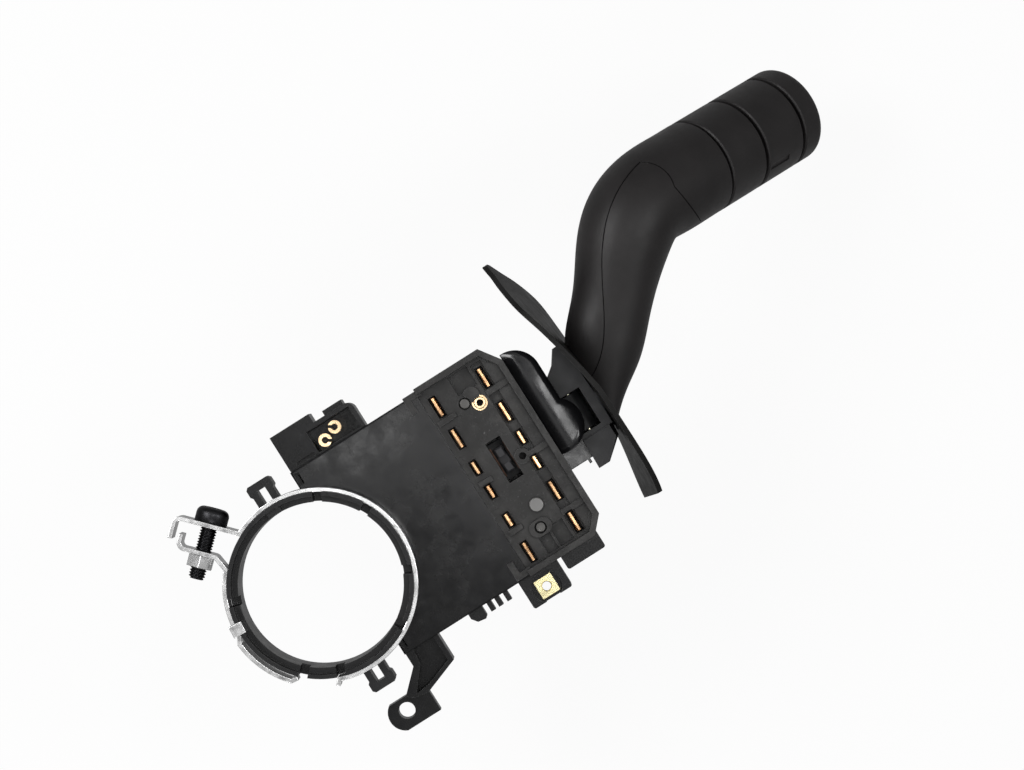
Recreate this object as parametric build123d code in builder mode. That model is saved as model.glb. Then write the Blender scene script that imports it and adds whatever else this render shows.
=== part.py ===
"""Combination stalk switch that clamps round a steering column.

Millimetres.  The origin is the middle of the column bore.  +Z runs along the steering
column, away from the driver, and the terminals face +Z.  +X runs from the column to the
lever.  +Y is up the terminal block.  The lever bends towards the driver, to -Z.
"""
from build123d import *
import os
from math import acos, atan2, cos, degrees, hypot, radians, sin, sqrt, tan

os.makedirs("parts", exist_ok=True)

# ---------------------------------------------------------------- fits and clearances
running_fit = 0.06  # radial clearance of a turning or sliding shaft
moving_gap = 0.5  # smallest gap between pieces that move past each other
seat_gap = 0.1  # assembly gap between moulded pieces that stay together

# ---------------------------------------------------------------- column clamp
column_r = 28.8  # bore that takes the column tube
sleeve_wall = 3.6
sleeve_front = 26.0
sleeve_back = -2.0
lip_r = 30.9  # wider mouth at the front of the sleeve
lip_depth = 5.0
lip_tooth_half_w = 2.6
finger_slot_w = 3.2  # slots that let the sleeve close on the column
finger_slot_depth = 15.0
finger_slot_angles = (27, 60, 159, 227, 251, 302, 338)
band_thickness = 1.5
band_width = 13.0
band_setback = 1.5  # from the sleeve's front end to the band
loop_half_w = 4.0  # strap loops above and below the sleeve
loop_head_half_w = 4.7
loop_slot_half_w = 1.6
loop_reach = 42.0
loop_head_h = 3.6
loop_bar = 2.8
ear_angle = 133.0  # direction that the clamp ears point
clamp_reach = column_r + 14.1  # from the bore's axis to the bolt, half way between the ears
clamp_angle = 126.2
ear_spacing = 9.9
front_ear_run = 12.0  # from the bolt to the bend of the upper ear
rear_ear_run = 8.5
ear_foot_run = 5.0
front_hook = 7.5
rear_hook = 4.8
hook_bend_r = 2.2
band_end_angle = 249.4  # free end of the long band
tail_end_angle = 224.0  # free end of the short band
tail_root_angle = 138.5
tail_step_angle = 182.0  # where the short band steps out
tail_step = 1.5
bolt_r = 2.95
bolt_length = 20.0
bolt_head_r = 5.8
bolt_head_h = 5.4
nut_flats = 8.6
nut_h = 4.4
keeper_angle = 176.0
keeper_w = 4.2
keeper_t = 0.75

# ---------------------------------------------------------------- housing
body_left = 10.9
body_right = 94.9
body_top = 38.5
body_bottom = -36.7
body_front = 10.0  # face of the flat cover
body_back = -26.0
wall = 2.0
cover_t = 2.5
corner_cut_x = 5.4
corner_cut_top = 6.0
corner_cut_bottom = 5.8
block_left = 63.0
block_rise_top = 1.7  # the terminal block stands above the cover's top edge
block_floor_rise = 1.0  # floor of the terminal block above the cover face
frame_rise = 4.0  # rim of the terminal block above its floor
frame_t = 2.2
hook_reach = 5.0  # hooks of the terminal block over the cover
hook_w = 2.3
hook_leg = 6.8
board_t = 2.0
board_top = 2.5
boss_r = 3.0
screw_r = 1.3
screw_head_r = 2.9
screw_head_h = 1.8
screw_depth = 14.0

# eyelet arm below the column
arm_left = 10.9
arm_right = 24.2
eyelet_x = 0.35
eyelet_y = -54.3
eyelet_r = 2.95
arm_front = 4.0
arm_back = -10.0
arm_floor = 4.0
pad_t = 8.0
arm_rim = 1.8

arm_drop_left = 5.3
arm_drop_right = 10.9
pad_right = 10.6
pad_left_w = 7.2
pad_top_h = 4.6
pad_bottom_h = 6.2

# square-nut tab and the second tab
nut_tab_left = 57.8
nut_tab_right = 73.5
nut_tab_drop = 11.1
nut_tab_front = 6.0
nut_tab_back = -6.0
square_nut_w = 7.0
square_nut_t = 2.2
square_nut_hole_r = 1.62
nut_pocket_r = 5.4
nut_seat_z = 1.5
side_tab_left = 75.3
side_tab_right = 90.7
side_tab_drop = 5.6
side_tab_front = 7.3
side_tab_back = -2.0

# latch bump and cable teeth on the lower edge
latch_left = 37.1
latch_right = 42.7
latch_back = 0.0
tooth_xs = (45.5, 48.7, 52.2)
tooth_w = 1.8
tooth_drop = 3.6

# connector on the upper edge
shell_right = 42.0
shell_step_x = 27.0
shell_top = 52.8
shell_step_top = 49.3
shell_front = 3.0
shell_back = -16.0
shell_pocket_left = 23.0
shell_pocket_top = 47.6
shell_floor = 3.0
shell_key_left = 31.5
shell_key_right = 39.2
shell_key_rise = 1.8
tulip_r = 2.4
tulip_bore_r = 1.15
tulip_h = 12.0
tulip_places = ((26.9, 41.9, -35.0), (32.2, 44.1, 145.0))  # x, y and direction of the slot

# ---------------------------------------------------------------- terminals
left_column_x = 66.9
right_column_x = body_right - 8.8
blade_t = 1.5
blade_top = 13.6
blade_slot_w = 2.9
blade_slot_spare = 1.2
long_blade = 7.0
short_blade = 4.6
left_long_ys = (30.5, 17.5, -29.2)
left_short_ys = (5.4, -4.4, -16.1)
right_long_ys = (30.6, 16.6, -15.9, -28.7)
right_short_ys = (6.0, -4.2)

channel_depth = 1.8
channel_half_w = 2.1
channel_rib_ys = (25.4, -0.6, -24.0)
rib_w = 2.2
rib_rise = 0.8
boss_ring_place = (83.0, 0.2)
boss_ring_r = 2.8
eyelet_seat_depth = 2.0
eyelet_flange_t = 0.8
brass_place = (80.3, 23.9)
brass_r = 2.8
brass_bore_r = 1.2
rivet_place = (78.0, -16.8)
rivet_head_r = 2.6
rivet_shank_r = 1.4
upper_screw_place = (75.6, 26.4)
lower_screw_place = (75.0, -24.3)
block_screw_head_r = 1.9
slider_x = 77.0  # middle of the turn slider and of its window
slider_half_w = 4.5
slider_half_l = 7.0
slider_low = -8.6
slider_high = -0.6
slider_post_w = 3.4
slider_post_l = 9.5
slider_post_top = 9.0
bridge_t = 0.4
bridge_w = 1.4
rail_t = 1.3
rail_low = -7.0

# ---------------------------------------------------------------- lever joints
pivot_x = 98.5  # turn axis, along Z
pivot_y = 2.5
turn_limit = 8.0
lever_z = -8.0  # level of the lever's foot and of its cross axle
hinge_x = 108.0  # cross axle, along Y
pin_r = 2.0
hinge_pin_r = 1.6
hub_r = 4.5
drive_radius = 20.0  # from the turn axis to the drive pin
drive_pin_r = 1.5
arm_tip_radius = 26.5
arm_half_w = 4.0
arm_low = -16.0
arm_high = -10.0
gate_radius = 30.0
gate_notch_depth = 1.7
gate_notch_half_w = 1.7
plunger_r = 2.0
plunger_nose_r = 1.2
plunger_travel = 1.2
plunger_z = -13.0
plunger_back_r = 22.0  # radius of the plunger's inner end about the turn axis
plunger_bore_end = 16.5
drive_pin_h = 5.0
tongue_half_w = 6.9
tongue_r = 4.0
gate_t = 6.0
gate_span = 14.0
gate_high = -9.0
window_below = 8.0  # window in the lever-side wall, from the turn axis down and up
window_above = 16.0
beam_post_x = 84.5
beam_post_y = 21.5
beam_post_r = 1.5
flash_limit = 6.0
tail_end_x = 86.2  # end of the lever's tail, inside the housing
tail_y = 14.0
tail_half_w = 2.0
tail_half_h = 2.0
finger_x = 52.0  # axle of the cancelling finger
finger_nose_r = 29.5
finger_end_x = pivot_x - gate_radius - gate_t - 2.5
finger_half_w = 2.0
finger_low = -20.0
finger_high = -17.0
finger_limit = 6.0

# ---------------------------------------------------------------- hood round the lever foot
hood_right = body_right + 10.1
hood_bottom = -14.0
hood_top = 34.3
hood_front = 8.0
hood_roof_t = 3.0
hood_edge_r = 2.4
hood_lobe_r = 10.0
hood_floor_top = -18.5
hood_mouth_top = 24.0
hood_corner_r = 9.5

# ---------------------------------------------------------------- lever
foot = Vector(112.5, 0.6, lever_z)
knee = Vector(161.6, 53.9, lever_z)
tip_tilt = 35.0
tip_reach = 86.8
knee_r = 26.0
lever_wall = 2.2
tip_r = 17.9
foot_w = 22.0
foot_d = 18.0
groove = 1.5
tip_start = 35.4
washer_w = 17.8
wiper_w = 19.0
cap_w = 10.2
shell_t = 2.4
spindle_r = 7.0
washer_travel = 1.0
cap_travel = 1.0

seam_gap = 0.12
inlay_depth = 60.0  # reach of the seam's cut below and above the handle's line
seam_points = ((115.0, 9.5), (127.2, 17.5), (133.4, 26.3), (140.3, 38.6), (147.3, 49.1),
               (155.3, 57.2), (165.0, 63.0), (173.4, 65.6))
seam_nose = (177.8, 61.5)
seam_end = (179.0, 52.0)
harness_r = 2.2
lip_chamfer = 0.5
stem_r = 3.5
stem_bore_start = 64.0
board_start = 57.6
tip_board_t = 1.0
index_angle = 144.0
cap_round = 3.4
spring_turns = 4

# ---------------------------------------------------------------- shroud plate
plate_top = 64.0
plate_bottom = -36.5
plate_top_x = 107.5
plate_middle_x = 117.2
plate_bottom_x = 114.8
plate_t = 1.8
plate_half_w = 34.0
plate_twist_top = 11.0
plate_twist_bottom = -9.0
plate_foot_half_w = 14.0
plate_head_half_w = 4.0
plate_widest_y = 14.0
bracket_left = 102.6
bracket_top = 26.3
tenon_reach = 24.0
neck_back = 4.0
clear_of_all = 40.0  # reach of the cutting shapes beyond the pieces that they cut

# ---------------------------------------------------------------- derived values
sleeve_r = column_r + sleeve_wall
cover_back = body_front - cover_t
floor_top = body_back + wall
band_front = sleeve_front - band_setback
band_back = band_front - band_width
band_middle = (band_front + band_back) / 2
band_r = sleeve_r + band_thickness / 2
block_floor = body_front + block_floor_rise
block_top = body_top + block_rise_top
frame_top = block_floor + frame_rise
board_back = board_top - board_t
pivot = Vector(pivot_x, pivot_y, 0)
tip_dir = Vector(cos(radians(tip_tilt)), 0, -sin(radians(tip_tilt)))
tip_plane = Plane(origin=knee, x_dir=(0, 1, 0), z_dir=tip_dir)
lever_dir = (knee - foot).normalized()


def level(z):
    return Plane.XY.offset(z)


def polar(radius, angle):
    return (radius * cos(radians(angle)), radius * sin(radians(angle)))


def radial_plane(angle):
    """Plane through the bore's axis: local x is the radius and local y is +Z."""
    a = radians(angle)
    return Plane(origin=(0, 0, 0), x_dir=(cos(a), sin(a), 0), z_dir=(sin(a), -cos(a), 0))


def rectangle(x0, x1, y0, y1, mode=Mode.ADD):
    """Rectangle by its edges, in the sketch that is open."""
    with Locations(((x0 + x1) / 2, (y0 + y1) / 2)):
        Rectangle(abs(x1 - x0), abs(y1 - y0), mode=mode)


def finger_opening():
    """Opening that the nose of the cancelling finger swings in, across the X axis."""
    swing = finger_half_w + (finger_x - finger_nose_r) * sin(radians(finger_limit)) + moving_gap
    rectangle(pivot_y - swing, pivot_y + swing, finger_low - moving_gap, finger_high + moving_gap)


def save(piece, name):
    piece.part.label = name
    export_step(piece.part, f"parts/{name}.step")


# ================================================================ column clamp
with BuildPart() as column_sleeve:
    with BuildSketch(level(sleeve_back)):
        Circle(sleeve_r)
        Circle(column_r, mode=Mode.SUBTRACT)
    extrude(amount=sleeve_front - sleeve_back)
    # loops that hold the band, joined to the sleeve behind the band
    with BuildSketch(level(band_back - 4)):
        for turn in (0, 180):
            with Locations(Rot(0, 0, turn)):
                with BuildLine(Rot(0, 0, turn)):
                    Polyline(
                        (-loop_half_w, column_r + sleeve_wall / 2),
                        (-loop_half_w, loop_reach - loop_head_h - 0.8),
                        (-loop_head_half_w, loop_reach - loop_head_h),
                        (-loop_head_half_w, loop_reach - 0.9),
                        (-loop_head_half_w + 0.9, loop_reach),
                        (loop_head_half_w - 0.9, loop_reach),
                        (loop_head_half_w, loop_reach - 0.9),
                        (loop_head_half_w, loop_reach - loop_head_h),
                        (loop_half_w, loop_reach - loop_head_h - 0.8),
                        (loop_half_w, column_r + sleeve_wall / 2),
                        close=True,
                    )
                make_face()
        for side in (1, -1):
            rectangle(-loop_slot_half_w, loop_slot_half_w, side * sleeve_r,
                      side * (loop_reach - loop_bar), mode=Mode.SUBTRACT)
    extrude(amount=4 + band_width * 0.6)
    # room for the band under the loops
    with BuildSketch(level(band_back - seat_gap)):
        Circle(sleeve_r + band_thickness + seat_gap)
        Circle(sleeve_r, mode=Mode.SUBTRACT)
    extrude(amount=band_width + band_setback, mode=Mode.SUBTRACT)
    with BuildSketch(level(sleeve_front - lip_depth)):
        Circle(lip_r)
    extrude(amount=lip_depth, mode=Mode.SUBTRACT)
    with BuildSketch(level(sleeve_front - finger_slot_depth)):
        for angle in finger_slot_angles:
            with Locations(Rot(0, 0, angle)):
                with Locations((column_r + sleeve_wall / 2, 0)):
                    Rectangle(sleeve_wall * 2, finger_slot_w)
    extrude(amount=finger_slot_depth, mode=Mode.SUBTRACT)
    # tooth inside the lip, under the upper loop
    with BuildSketch(level(sleeve_front - lip_depth)):
        rectangle(-lip_tooth_half_w, lip_tooth_half_w, column_r + 0.2, lip_r + 0.5)
    extrude(amount=lip_depth - 1.0)
save(column_sleeve, "column_sleeve")

ear_dir = Vector(*polar(1, ear_angle), 0)
bolt_dir = Vector(*polar(1, ear_angle + 90), 0)
clamp_point = Vector(*polar(clamp_reach, clamp_angle), 0)


def ear_point(side, run):
    """Point on the middle line of an ear: side +1 is the upper ear."""
    return clamp_point - bolt_dir * (side * ear_spacing / 2) + ear_dir * run


def ear_root(side, radius):
    """Where the middle line of an ear meets the circle of the band."""
    start = ear_point(side, 0)
    along = start.dot(ear_dir)
    return start + ear_dir * (-along + sqrt(along**2 - start.length**2 + radius**2))


def xy(point):
    return (point.X, point.Y)


upper_root = ear_root(1, band_r)
upper_root_angle = degrees(atan2(upper_root.Y, upper_root.X))
band_span = upper_root_angle - (band_end_angle - 360)
bolt_plane = Plane(origin=clamp_point + Vector(0, 0, band_middle), x_dir=(0, 0, 1), z_dir=bolt_dir)

with BuildPart() as clamp_band:
    with BuildSketch(level(band_back)):
        with BuildLine():
            upper_bend = ear_point(1, front_ear_run)
            FilletPolyline(xy(upper_bend + bolt_dir * front_hook), xy(upper_bend), xy(upper_root),
                           radius=hook_bend_r)
            ThreePointArc(xy(upper_root), polar(band_r, upper_root_angle - band_span / 2),
                          polar(band_r, band_end_angle))
            Line(polar(band_r, band_end_angle), polar(band_r + 2.2, band_end_angle - 1.5))
        trace(line_width=band_thickness)
        with Locations(xy(upper_root), polar(band_r, band_end_angle)):
            Circle(band_thickness / 2)
    extrude(amount=band_width)
    with BuildSketch(bolt_plane.offset(-ear_spacing / 2 - 3)):
        Circle(bolt_r + running_fit)
    extrude(amount=6, mode=Mode.SUBTRACT)
save(clamp_band, "clamp_band")

tail_root = Vector(*polar(band_r, tail_root_angle), 0)
tail_outer_r = band_r + tail_step
with BuildPart() as clamp_band_tail:
    with BuildSketch(level(band_back)):
        with BuildLine():
            lower_bend = ear_point(-1, rear_ear_run)
            FilletPolyline(xy(lower_bend - bolt_dir * rear_hook), xy(lower_bend),
                           xy(ear_point(-1, -ear_foot_run)), xy(tail_root), radius=hook_bend_r)
            ThreePointArc(xy(tail_root), polar(band_r, (tail_root_angle + tail_step_angle - 2) / 2),
                          polar(band_r, tail_step_angle - 2))
            Line(polar(band_r, tail_step_angle - 2), polar(tail_outer_r, tail_step_angle + 2))
            ThreePointArc(polar(tail_outer_r, tail_step_angle + 2),
                          polar(tail_outer_r, (tail_step_angle + tail_end_angle) / 2),
                          polar(tail_outer_r, tail_end_angle - 3))
            Line(polar(tail_outer_r, tail_end_angle - 3), polar(band_r, tail_end_angle))
        trace(line_width=band_thickness)
        with Locations(xy(tail_root),
                       polar(band_r, tail_step_angle - 2), polar(tail_outer_r, tail_step_angle + 2)):
            Circle(band_thickness / 2)
        Circle(sleeve_r, mode=Mode.SUBTRACT)
    extrude(amount=band_width)
    with BuildSketch(bolt_plane.offset(ear_spacing / 2 - 3)):
        Circle(bolt_r + running_fit)
    extrude(amount=6, mode=Mode.SUBTRACT)
save(clamp_band_tail, "clamp_band_tail")

bolt_seat = bolt_plane.offset(-(ear_spacing + band_thickness) / 2)
nut_seat = bolt_plane.offset((ear_spacing + band_thickness) / 2 + seat_gap)
with BuildPart() as clamp_bolt:
    with BuildSketch(bolt_seat):
        Circle(bolt_r)
    extrude(amount=bolt_length)
    chamfer(clamp_bolt.faces().sort_by(Axis(clamp_point, bolt_dir))[-1].edges(), 0.6)
    with BuildSketch(bolt_seat):
        Circle(bolt_head_r)
    extrude(amount=-bolt_head_h)
    crown = clamp_bolt.faces().sort_by(Axis(clamp_point, bolt_dir))[0]
    fillet(crown.edges(), bolt_head_h * 0.45)
    with BuildSketch(bolt_seat.offset(-bolt_head_h)):
        RegularPolygon(radius=2.9, side_count=6)
    extrude(amount=2.4, mode=Mode.SUBTRACT)
save(clamp_bolt, "clamp_bolt")

with BuildPart() as clamp_nut:
    with BuildSketch(nut_seat):
        RegularPolygon(radius=nut_flats / 2, side_count=6, major_radius=False)
        Circle(bolt_r, mode=Mode.SUBTRACT)
    extrude(amount=nut_h)
    chamfer(clamp_nut.edges().filter_by(GeomType.CIRCLE), 0.4)
save(clamp_nut, "clamp_nut")

# spring clip over the front edge of the sleeve, on the step of the short band
with BuildPart() as band_keeper:
    with BuildSketch(radial_plane(keeper_angle).offset(-keeper_w / 2)):
        inner_leg = sqrt(lip_r ** 2 - (keeper_w / 2) ** 2) - keeper_t - seat_gap / 2
        outer_leg = sleeve_r + band_thickness + seat_gap / 2
        rectangle(inner_leg, inner_leg + keeper_t, sleeve_front - lip_depth + 0.4, sleeve_front + keeper_t)
        rectangle(inner_leg, outer_leg + keeper_t, sleeve_front, sleeve_front + keeper_t)
        rectangle(outer_leg, outer_leg + keeper_t, band_middle - 3, sleeve_front + keeper_t)
    extrude(amount=keeper_w)
save(band_keeper, "band_keeper")


# ================================================================ housing
def body_outline(inset=0.0, left=body_left, top=body_top):
    """Outline of the body, with its two cut corners on the lever side."""
    with BuildSketch() as outline:
        with BuildLine():
            Polyline(
                (left, body_bottom),
                (body_right - corner_cut_x, body_bottom),
                (body_right, body_bottom + corner_cut_bottom),
                (body_right, body_top - corner_cut_top),
                (body_right - corner_cut_x, top),
                (left, top),
                close=True,
            )
        make_face()
        if inset:
            offset(amount=-inset, kind=Kind.INTERSECTION, mode=Mode.REPLACE)
    return outline.sketch


boss_places = (
    (left_column_x - 3.2, body_top - 6.2),
    (left_column_x - 3.2, body_bottom + 6.2),
    (body_right - 7.6, body_top - 8.0),
    (body_right - 7.6, body_bottom + 7.6),
)
nut_place = ((nut_tab_left + nut_tab_right) / 2, body_bottom - 6.5)
arc_r = sleeve_r + seat_gap
arm_foot = (arm_right, body_bottom - arm_drop_right)
arm_knee = (pad_right, eyelet_y + 1.8)
arm_neck = (eyelet_x + 2.5, eyelet_y + pad_top_h)
arm_shoulder = (arm_left, body_bottom - arm_drop_left)

with BuildPart() as main_housing:
    with BuildSketch(level(body_back)):
        add(body_outline())
        Circle(arc_r, mode=Mode.SUBTRACT)
    extrude(amount=cover_back - body_back)
    outer_corners = main_housing.edges().filter_by(Axis.Z).group_by(Axis.X)[0]
    fillet(outer_corners, 0.8)
    with BuildSketch(level(floor_top)):
        add(body_outline(wall))
        Circle(arc_r + wall, mode=Mode.SUBTRACT)
    extrude(amount=cover_back - floor_top, mode=Mode.SUBTRACT)
    # windows for the swivel carrier and the cancelling finger
    with BuildSketch(Plane.YZ.offset(body_right - wall * 2)):
        rectangle(pivot_y - window_below, pivot_y + window_above, arm_low - 2.8, cover_back)
    extrude(amount=wall * 3, mode=Mode.SUBTRACT)
    with BuildSketch(Plane.YZ.offset(column_r)):
        finger_opening()
    extrude(amount=arc_r + wall + 3 - column_r, mode=Mode.SUBTRACT)
    # bosses that carry the contact board, and the post of the beam slider
    with BuildSketch(level(floor_top)):
        with Locations(*boss_places):
            Circle(boss_r)
        with Locations((beam_post_x, beam_post_y)):
            Circle(beam_post_r)
    extrude(amount=board_back - floor_top)
    with BuildSketch(level(body_back)):
        with Locations(*boss_places):
            Circle(screw_r)
    extrude(amount=screw_depth, mode=Mode.SUBTRACT)
    # eyelet arm: flat pad, then the higher web with its rims
    with BuildSketch(level(arm_back)):
        with BuildLine():
            Polyline((arm_right, body_bottom + wall / 2), arm_foot, arm_knee,
                     (pad_right, eyelet_y - pad_bottom_h), (eyelet_x - 3.4, eyelet_y - pad_bottom_h))
            ThreePointArc((eyelet_x - 3.4, eyelet_y - pad_bottom_h), (eyelet_x - pad_left_w, eyelet_y),
                          (eyelet_x - 4.8, eyelet_y + pad_top_h))
            Polyline((eyelet_x - 4.8, eyelet_y + pad_top_h), arm_neck, arm_shoulder,
                     (arm_left, body_bottom + wall / 2), (arm_right, body_bottom + wall / 2))
        make_face()
    extrude(amount=pad_t)
    with BuildSketch(level(arm_back)):
        with BuildLine():
            Polyline((arm_right, body_bottom + wall / 2), arm_foot, arm_knee,
                     (eyelet_x + 5.2, eyelet_y + 2.6), arm_neck, arm_shoulder,
                     (arm_left, body_bottom + wall / 2), close=True)
        make_face()
    extrude(amount=arm_front - arm_back)
    with BuildSketch(level(arm_back + arm_floor)):
        with BuildLine():
            Polyline((arm_right - arm_rim, body_bottom),
                     (arm_right - arm_rim, arm_foot[1] + arm_rim * 0.6),
                     (arm_knee[0] + arm_rim * 0.8, arm_knee[1] + arm_rim * 1.3),
                     (arm_neck[0] + arm_rim * 2.2, arm_neck[1] - arm_rim * 0.6),
                     (arm_shoulder[0] + arm_rim * 1.4, arm_shoulder[1] - arm_rim * 0.4),
                     (arm_left + arm_rim * 1.8, body_bottom), close=True)
        make_face()
    extrude(amount=arm_front - arm_back, mode=Mode.SUBTRACT)
    with BuildSketch(level(arm_back)):
        with Locations((eyelet_x, eyelet_y)):
            Circle(eyelet_r)
    extrude(amount=arm_front - arm_back, mode=Mode.SUBTRACT)
    # tab with the pocket of the square nut, and the plain tab beside it
    with BuildSketch(level(nut_tab_back)):
        rectangle(nut_tab_left, nut_tab_right, body_bottom - nut_tab_drop, body_bottom + wall / 2)
    extrude(amount=nut_tab_front - nut_tab_back)
    with BuildSketch(level(side_tab_back)):
        rectangle(side_tab_left, side_tab_right, body_bottom - side_tab_drop, body_bottom + wall / 2)
    extrude(amount=side_tab_front - side_tab_back)
    tab_corners = main_housing.edges().filter_by(Axis.Z).filter_by_position(
        Axis.Y, body_bottom - nut_tab_drop - 0.1, body_bottom - side_tab_drop + 0.1
    ).filter_by_position(Axis.X, nut_tab_left - 0.1, side_tab_right + 0.1)
    fillet(tab_corners, 0.9)
    with BuildSketch(level(nut_seat_z)):
        with Locations(nut_place):
            Circle(nut_pocket_r)
    extrude(amount=nut_tab_front - nut_seat_z, mode=Mode.SUBTRACT)
    with BuildSketch(level(nut_tab_back)):
        with Locations(nut_place):
            Circle(square_nut_hole_r + 0.6)
    extrude(amount=nut_tab_front - nut_tab_back, mode=Mode.SUBTRACT)
    # latch bump and cable teeth
    with BuildSketch(level(latch_back)):
        with BuildLine():
            Polyline((latch_left, body_bottom + wall / 2), (latch_left, body_bottom - 2.0),
                     (latch_left + 1.6, body_bottom - 4.1), (latch_right - 1.0, body_bottom - 4.6),
                     (latch_right, body_bottom - 3.8), (latch_right, body_bottom + wall / 2), close=True)
        make_face()
        for x in tooth_xs:
            rectangle(x - tooth_w / 2, x + tooth_w / 2, body_bottom - tooth_drop, body_bottom + wall / 2)
    extrude(amount=cover_back - latch_back)
save(main_housing, "main_housing")

with BuildPart() as top_cover:
    with BuildSketch(level(cover_back)):
        add(body_outline())
        rectangle(block_left, body_right + 1, body_bottom - 1, body_top + 1, mode=Mode.SUBTRACT)
        Circle(arc_r, mode=Mode.SUBTRACT)
    extrude(amount=cover_t)
    rim = top_cover.faces().sort_by(Axis.Z)[-1].edges().filter_by(GeomType.LINE)
    chamfer(rim.group_by(Axis.X)[0] + rim.sort_by(Axis.Y)[:1] + rim.sort_by(Axis.Y)[-1:], 0.5)
    # catch windows at the column side
    with BuildSketch(level(cover_back)):
        for y in (body_top - 3.4, body_bottom + 3.4):
            with Locations((body_left + 1.7, y)):
                Rectangle(1.6, 4.2)
    extrude(amount=cover_t, mode=Mode.SUBTRACT)
save(top_cover, "top_cover")

with BuildPart() as housing_screws:
    with BuildSketch(level(body_back)):
        with Locations(*boss_places):
            Circle(screw_r)
    extrude(amount=screw_depth)
    with BuildSketch(level(body_back)):
        with Locations(*boss_places):
            Circle(screw_head_r)
    extrude(amount=-screw_head_h)
    fillet(housing_screws.faces().group_by(Axis.Z)[0].edges(), 0.7)
    with BuildSketch(level(body_back - screw_head_h)):
        with Locations(*boss_places):
            Rectangle(3.0, 0.7)
            Rectangle(0.7, 3.0)
    extrude(amount=1.0, mode=Mode.SUBTRACT)
save(housing_screws, "housing_screws")

with BuildPart() as square_nut:
    with BuildSketch(level(nut_seat_z)):
        with Locations(nut_place):
            Rectangle(square_nut_w, square_nut_w)
            Circle(square_nut_hole_r, mode=Mode.SUBTRACT)
    extrude(amount=square_nut_t)
    chamfer(square_nut.faces().sort_by(Axis.Z)[-1].edges().filter_by(GeomType.CIRCLE), 0.3)
save(square_nut, "square_nut")

# ================================================================ connector
with BuildPart() as connector_shell:
    with BuildSketch(level(shell_back)):
        rectangle(body_left, shell_step_x, body_top, shell_top)
        rectangle(shell_step_x, shell_right, body_top, shell_step_top)
    extrude(amount=shell_front - shell_back)
    with BuildSketch(level(shell_back)):
        rectangle(shell_key_left, shell_key_right, shell_step_top - 1, shell_step_top + shell_key_rise)
    extrude(amount=shell_front - shell_back - 2)
    fillet(connector_shell.edges().filter_by(Axis.Z).filter_by_position(
        Axis.X, shell_right - 0.01, shell_right + 0.01).sort_by(Axis.Y)[-1], 3.0)
    # mouth with the two contacts, and the keyway beside it
    with BuildSketch(level(shell_back + shell_floor)):
        rectangle(shell_pocket_left, shell_right - 1.8, body_top + 0.8, shell_pocket_top)
    extrude(amount=shell_front - shell_back, mode=Mode.SUBTRACT)
    with BuildSketch(level(shell_front - 1.2)):
        rectangle(body_left + 3.5, shell_pocket_left - 1.5, body_top + 0.8, body_top + 2.0)
    extrude(amount=1.2, mode=Mode.SUBTRACT)
save(connector_shell, "connector_shell")

with BuildPart() as connector_contacts:
    for x, y, slot_angle in tulip_places:
        with BuildSketch(level(shell_back + shell_floor)):
            with Locations((x, y)):
                Circle(tulip_r)
                Circle(tulip_bore_r, mode=Mode.SUBTRACT)
            with Locations(Location((x, y, 0), (0, 0, slot_angle))):
                with Locations((tulip_r, 0)):
                    Rectangle(tulip_r * 2, tulip_bore_r * 0.9, mode=Mode.SUBTRACT)
        extrude(amount=tulip_h)
save(connector_contacts, "connector_contacts")

# ================================================================ terminals
blade_rows = (
    (left_column_x, left_long_ys, long_blade),
    (right_column_x, right_long_ys, long_blade),
    (left_column_x, left_short_ys, short_blade),
    (right_column_x, right_short_ys, short_blade),
)
channel_left = right_column_x - channel_half_w
channel_right = right_column_x + channel_half_w
turn_travel = drive_radius * radians(turn_limit)
window_left = slider_x - slider_post_w / 2 - 1.2
window_right = slider_x + slider_post_w / 2 + 1.2
window_low = pivot_y - slider_post_l / 2 - turn_travel - moving_gap
window_high = pivot_y + slider_post_l / 2 + turn_travel + moving_gap

with BuildPart() as contact_board:
    with BuildSketch(level(board_back)):
        add(body_outline(wall + 0.3, left=block_left - 1.0))
        rectangle(window_left, window_right, window_low, window_high, mode=Mode.SUBTRACT)
    extrude(amount=board_t)
    # rails that guide the turn slider
    with BuildSketch(level(rail_low)):
        for side, rail_end in ((-1, window_high + 4), (1, tail_y - tail_half_w - 3.5)):
            inner = slider_x + side * (slider_half_w + running_fit * 3)
            rectangle(inner, inner + side * rail_t, window_low - 4, rail_end)
    extrude(amount=board_back - rail_low)
save(contact_board, "contact_board")

for rows, name in ((blade_rows[:2], "long_blades"), (blade_rows[2:], "short_blades")):
    with BuildPart() as blades:
        for x, ys, length in rows:
            with BuildSketch(level(board_top)):
                with Locations(*[(x, y) for y in ys]):
                    Rectangle(blade_t, length)
            extrude(amount=blade_top - board_top)
        chamfer(blades.faces().filter_by(Axis.Z).group_by(Axis.Z)[-1].edges().filter_by(Axis.Y), 0.35)
    save(blades, name)

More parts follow.
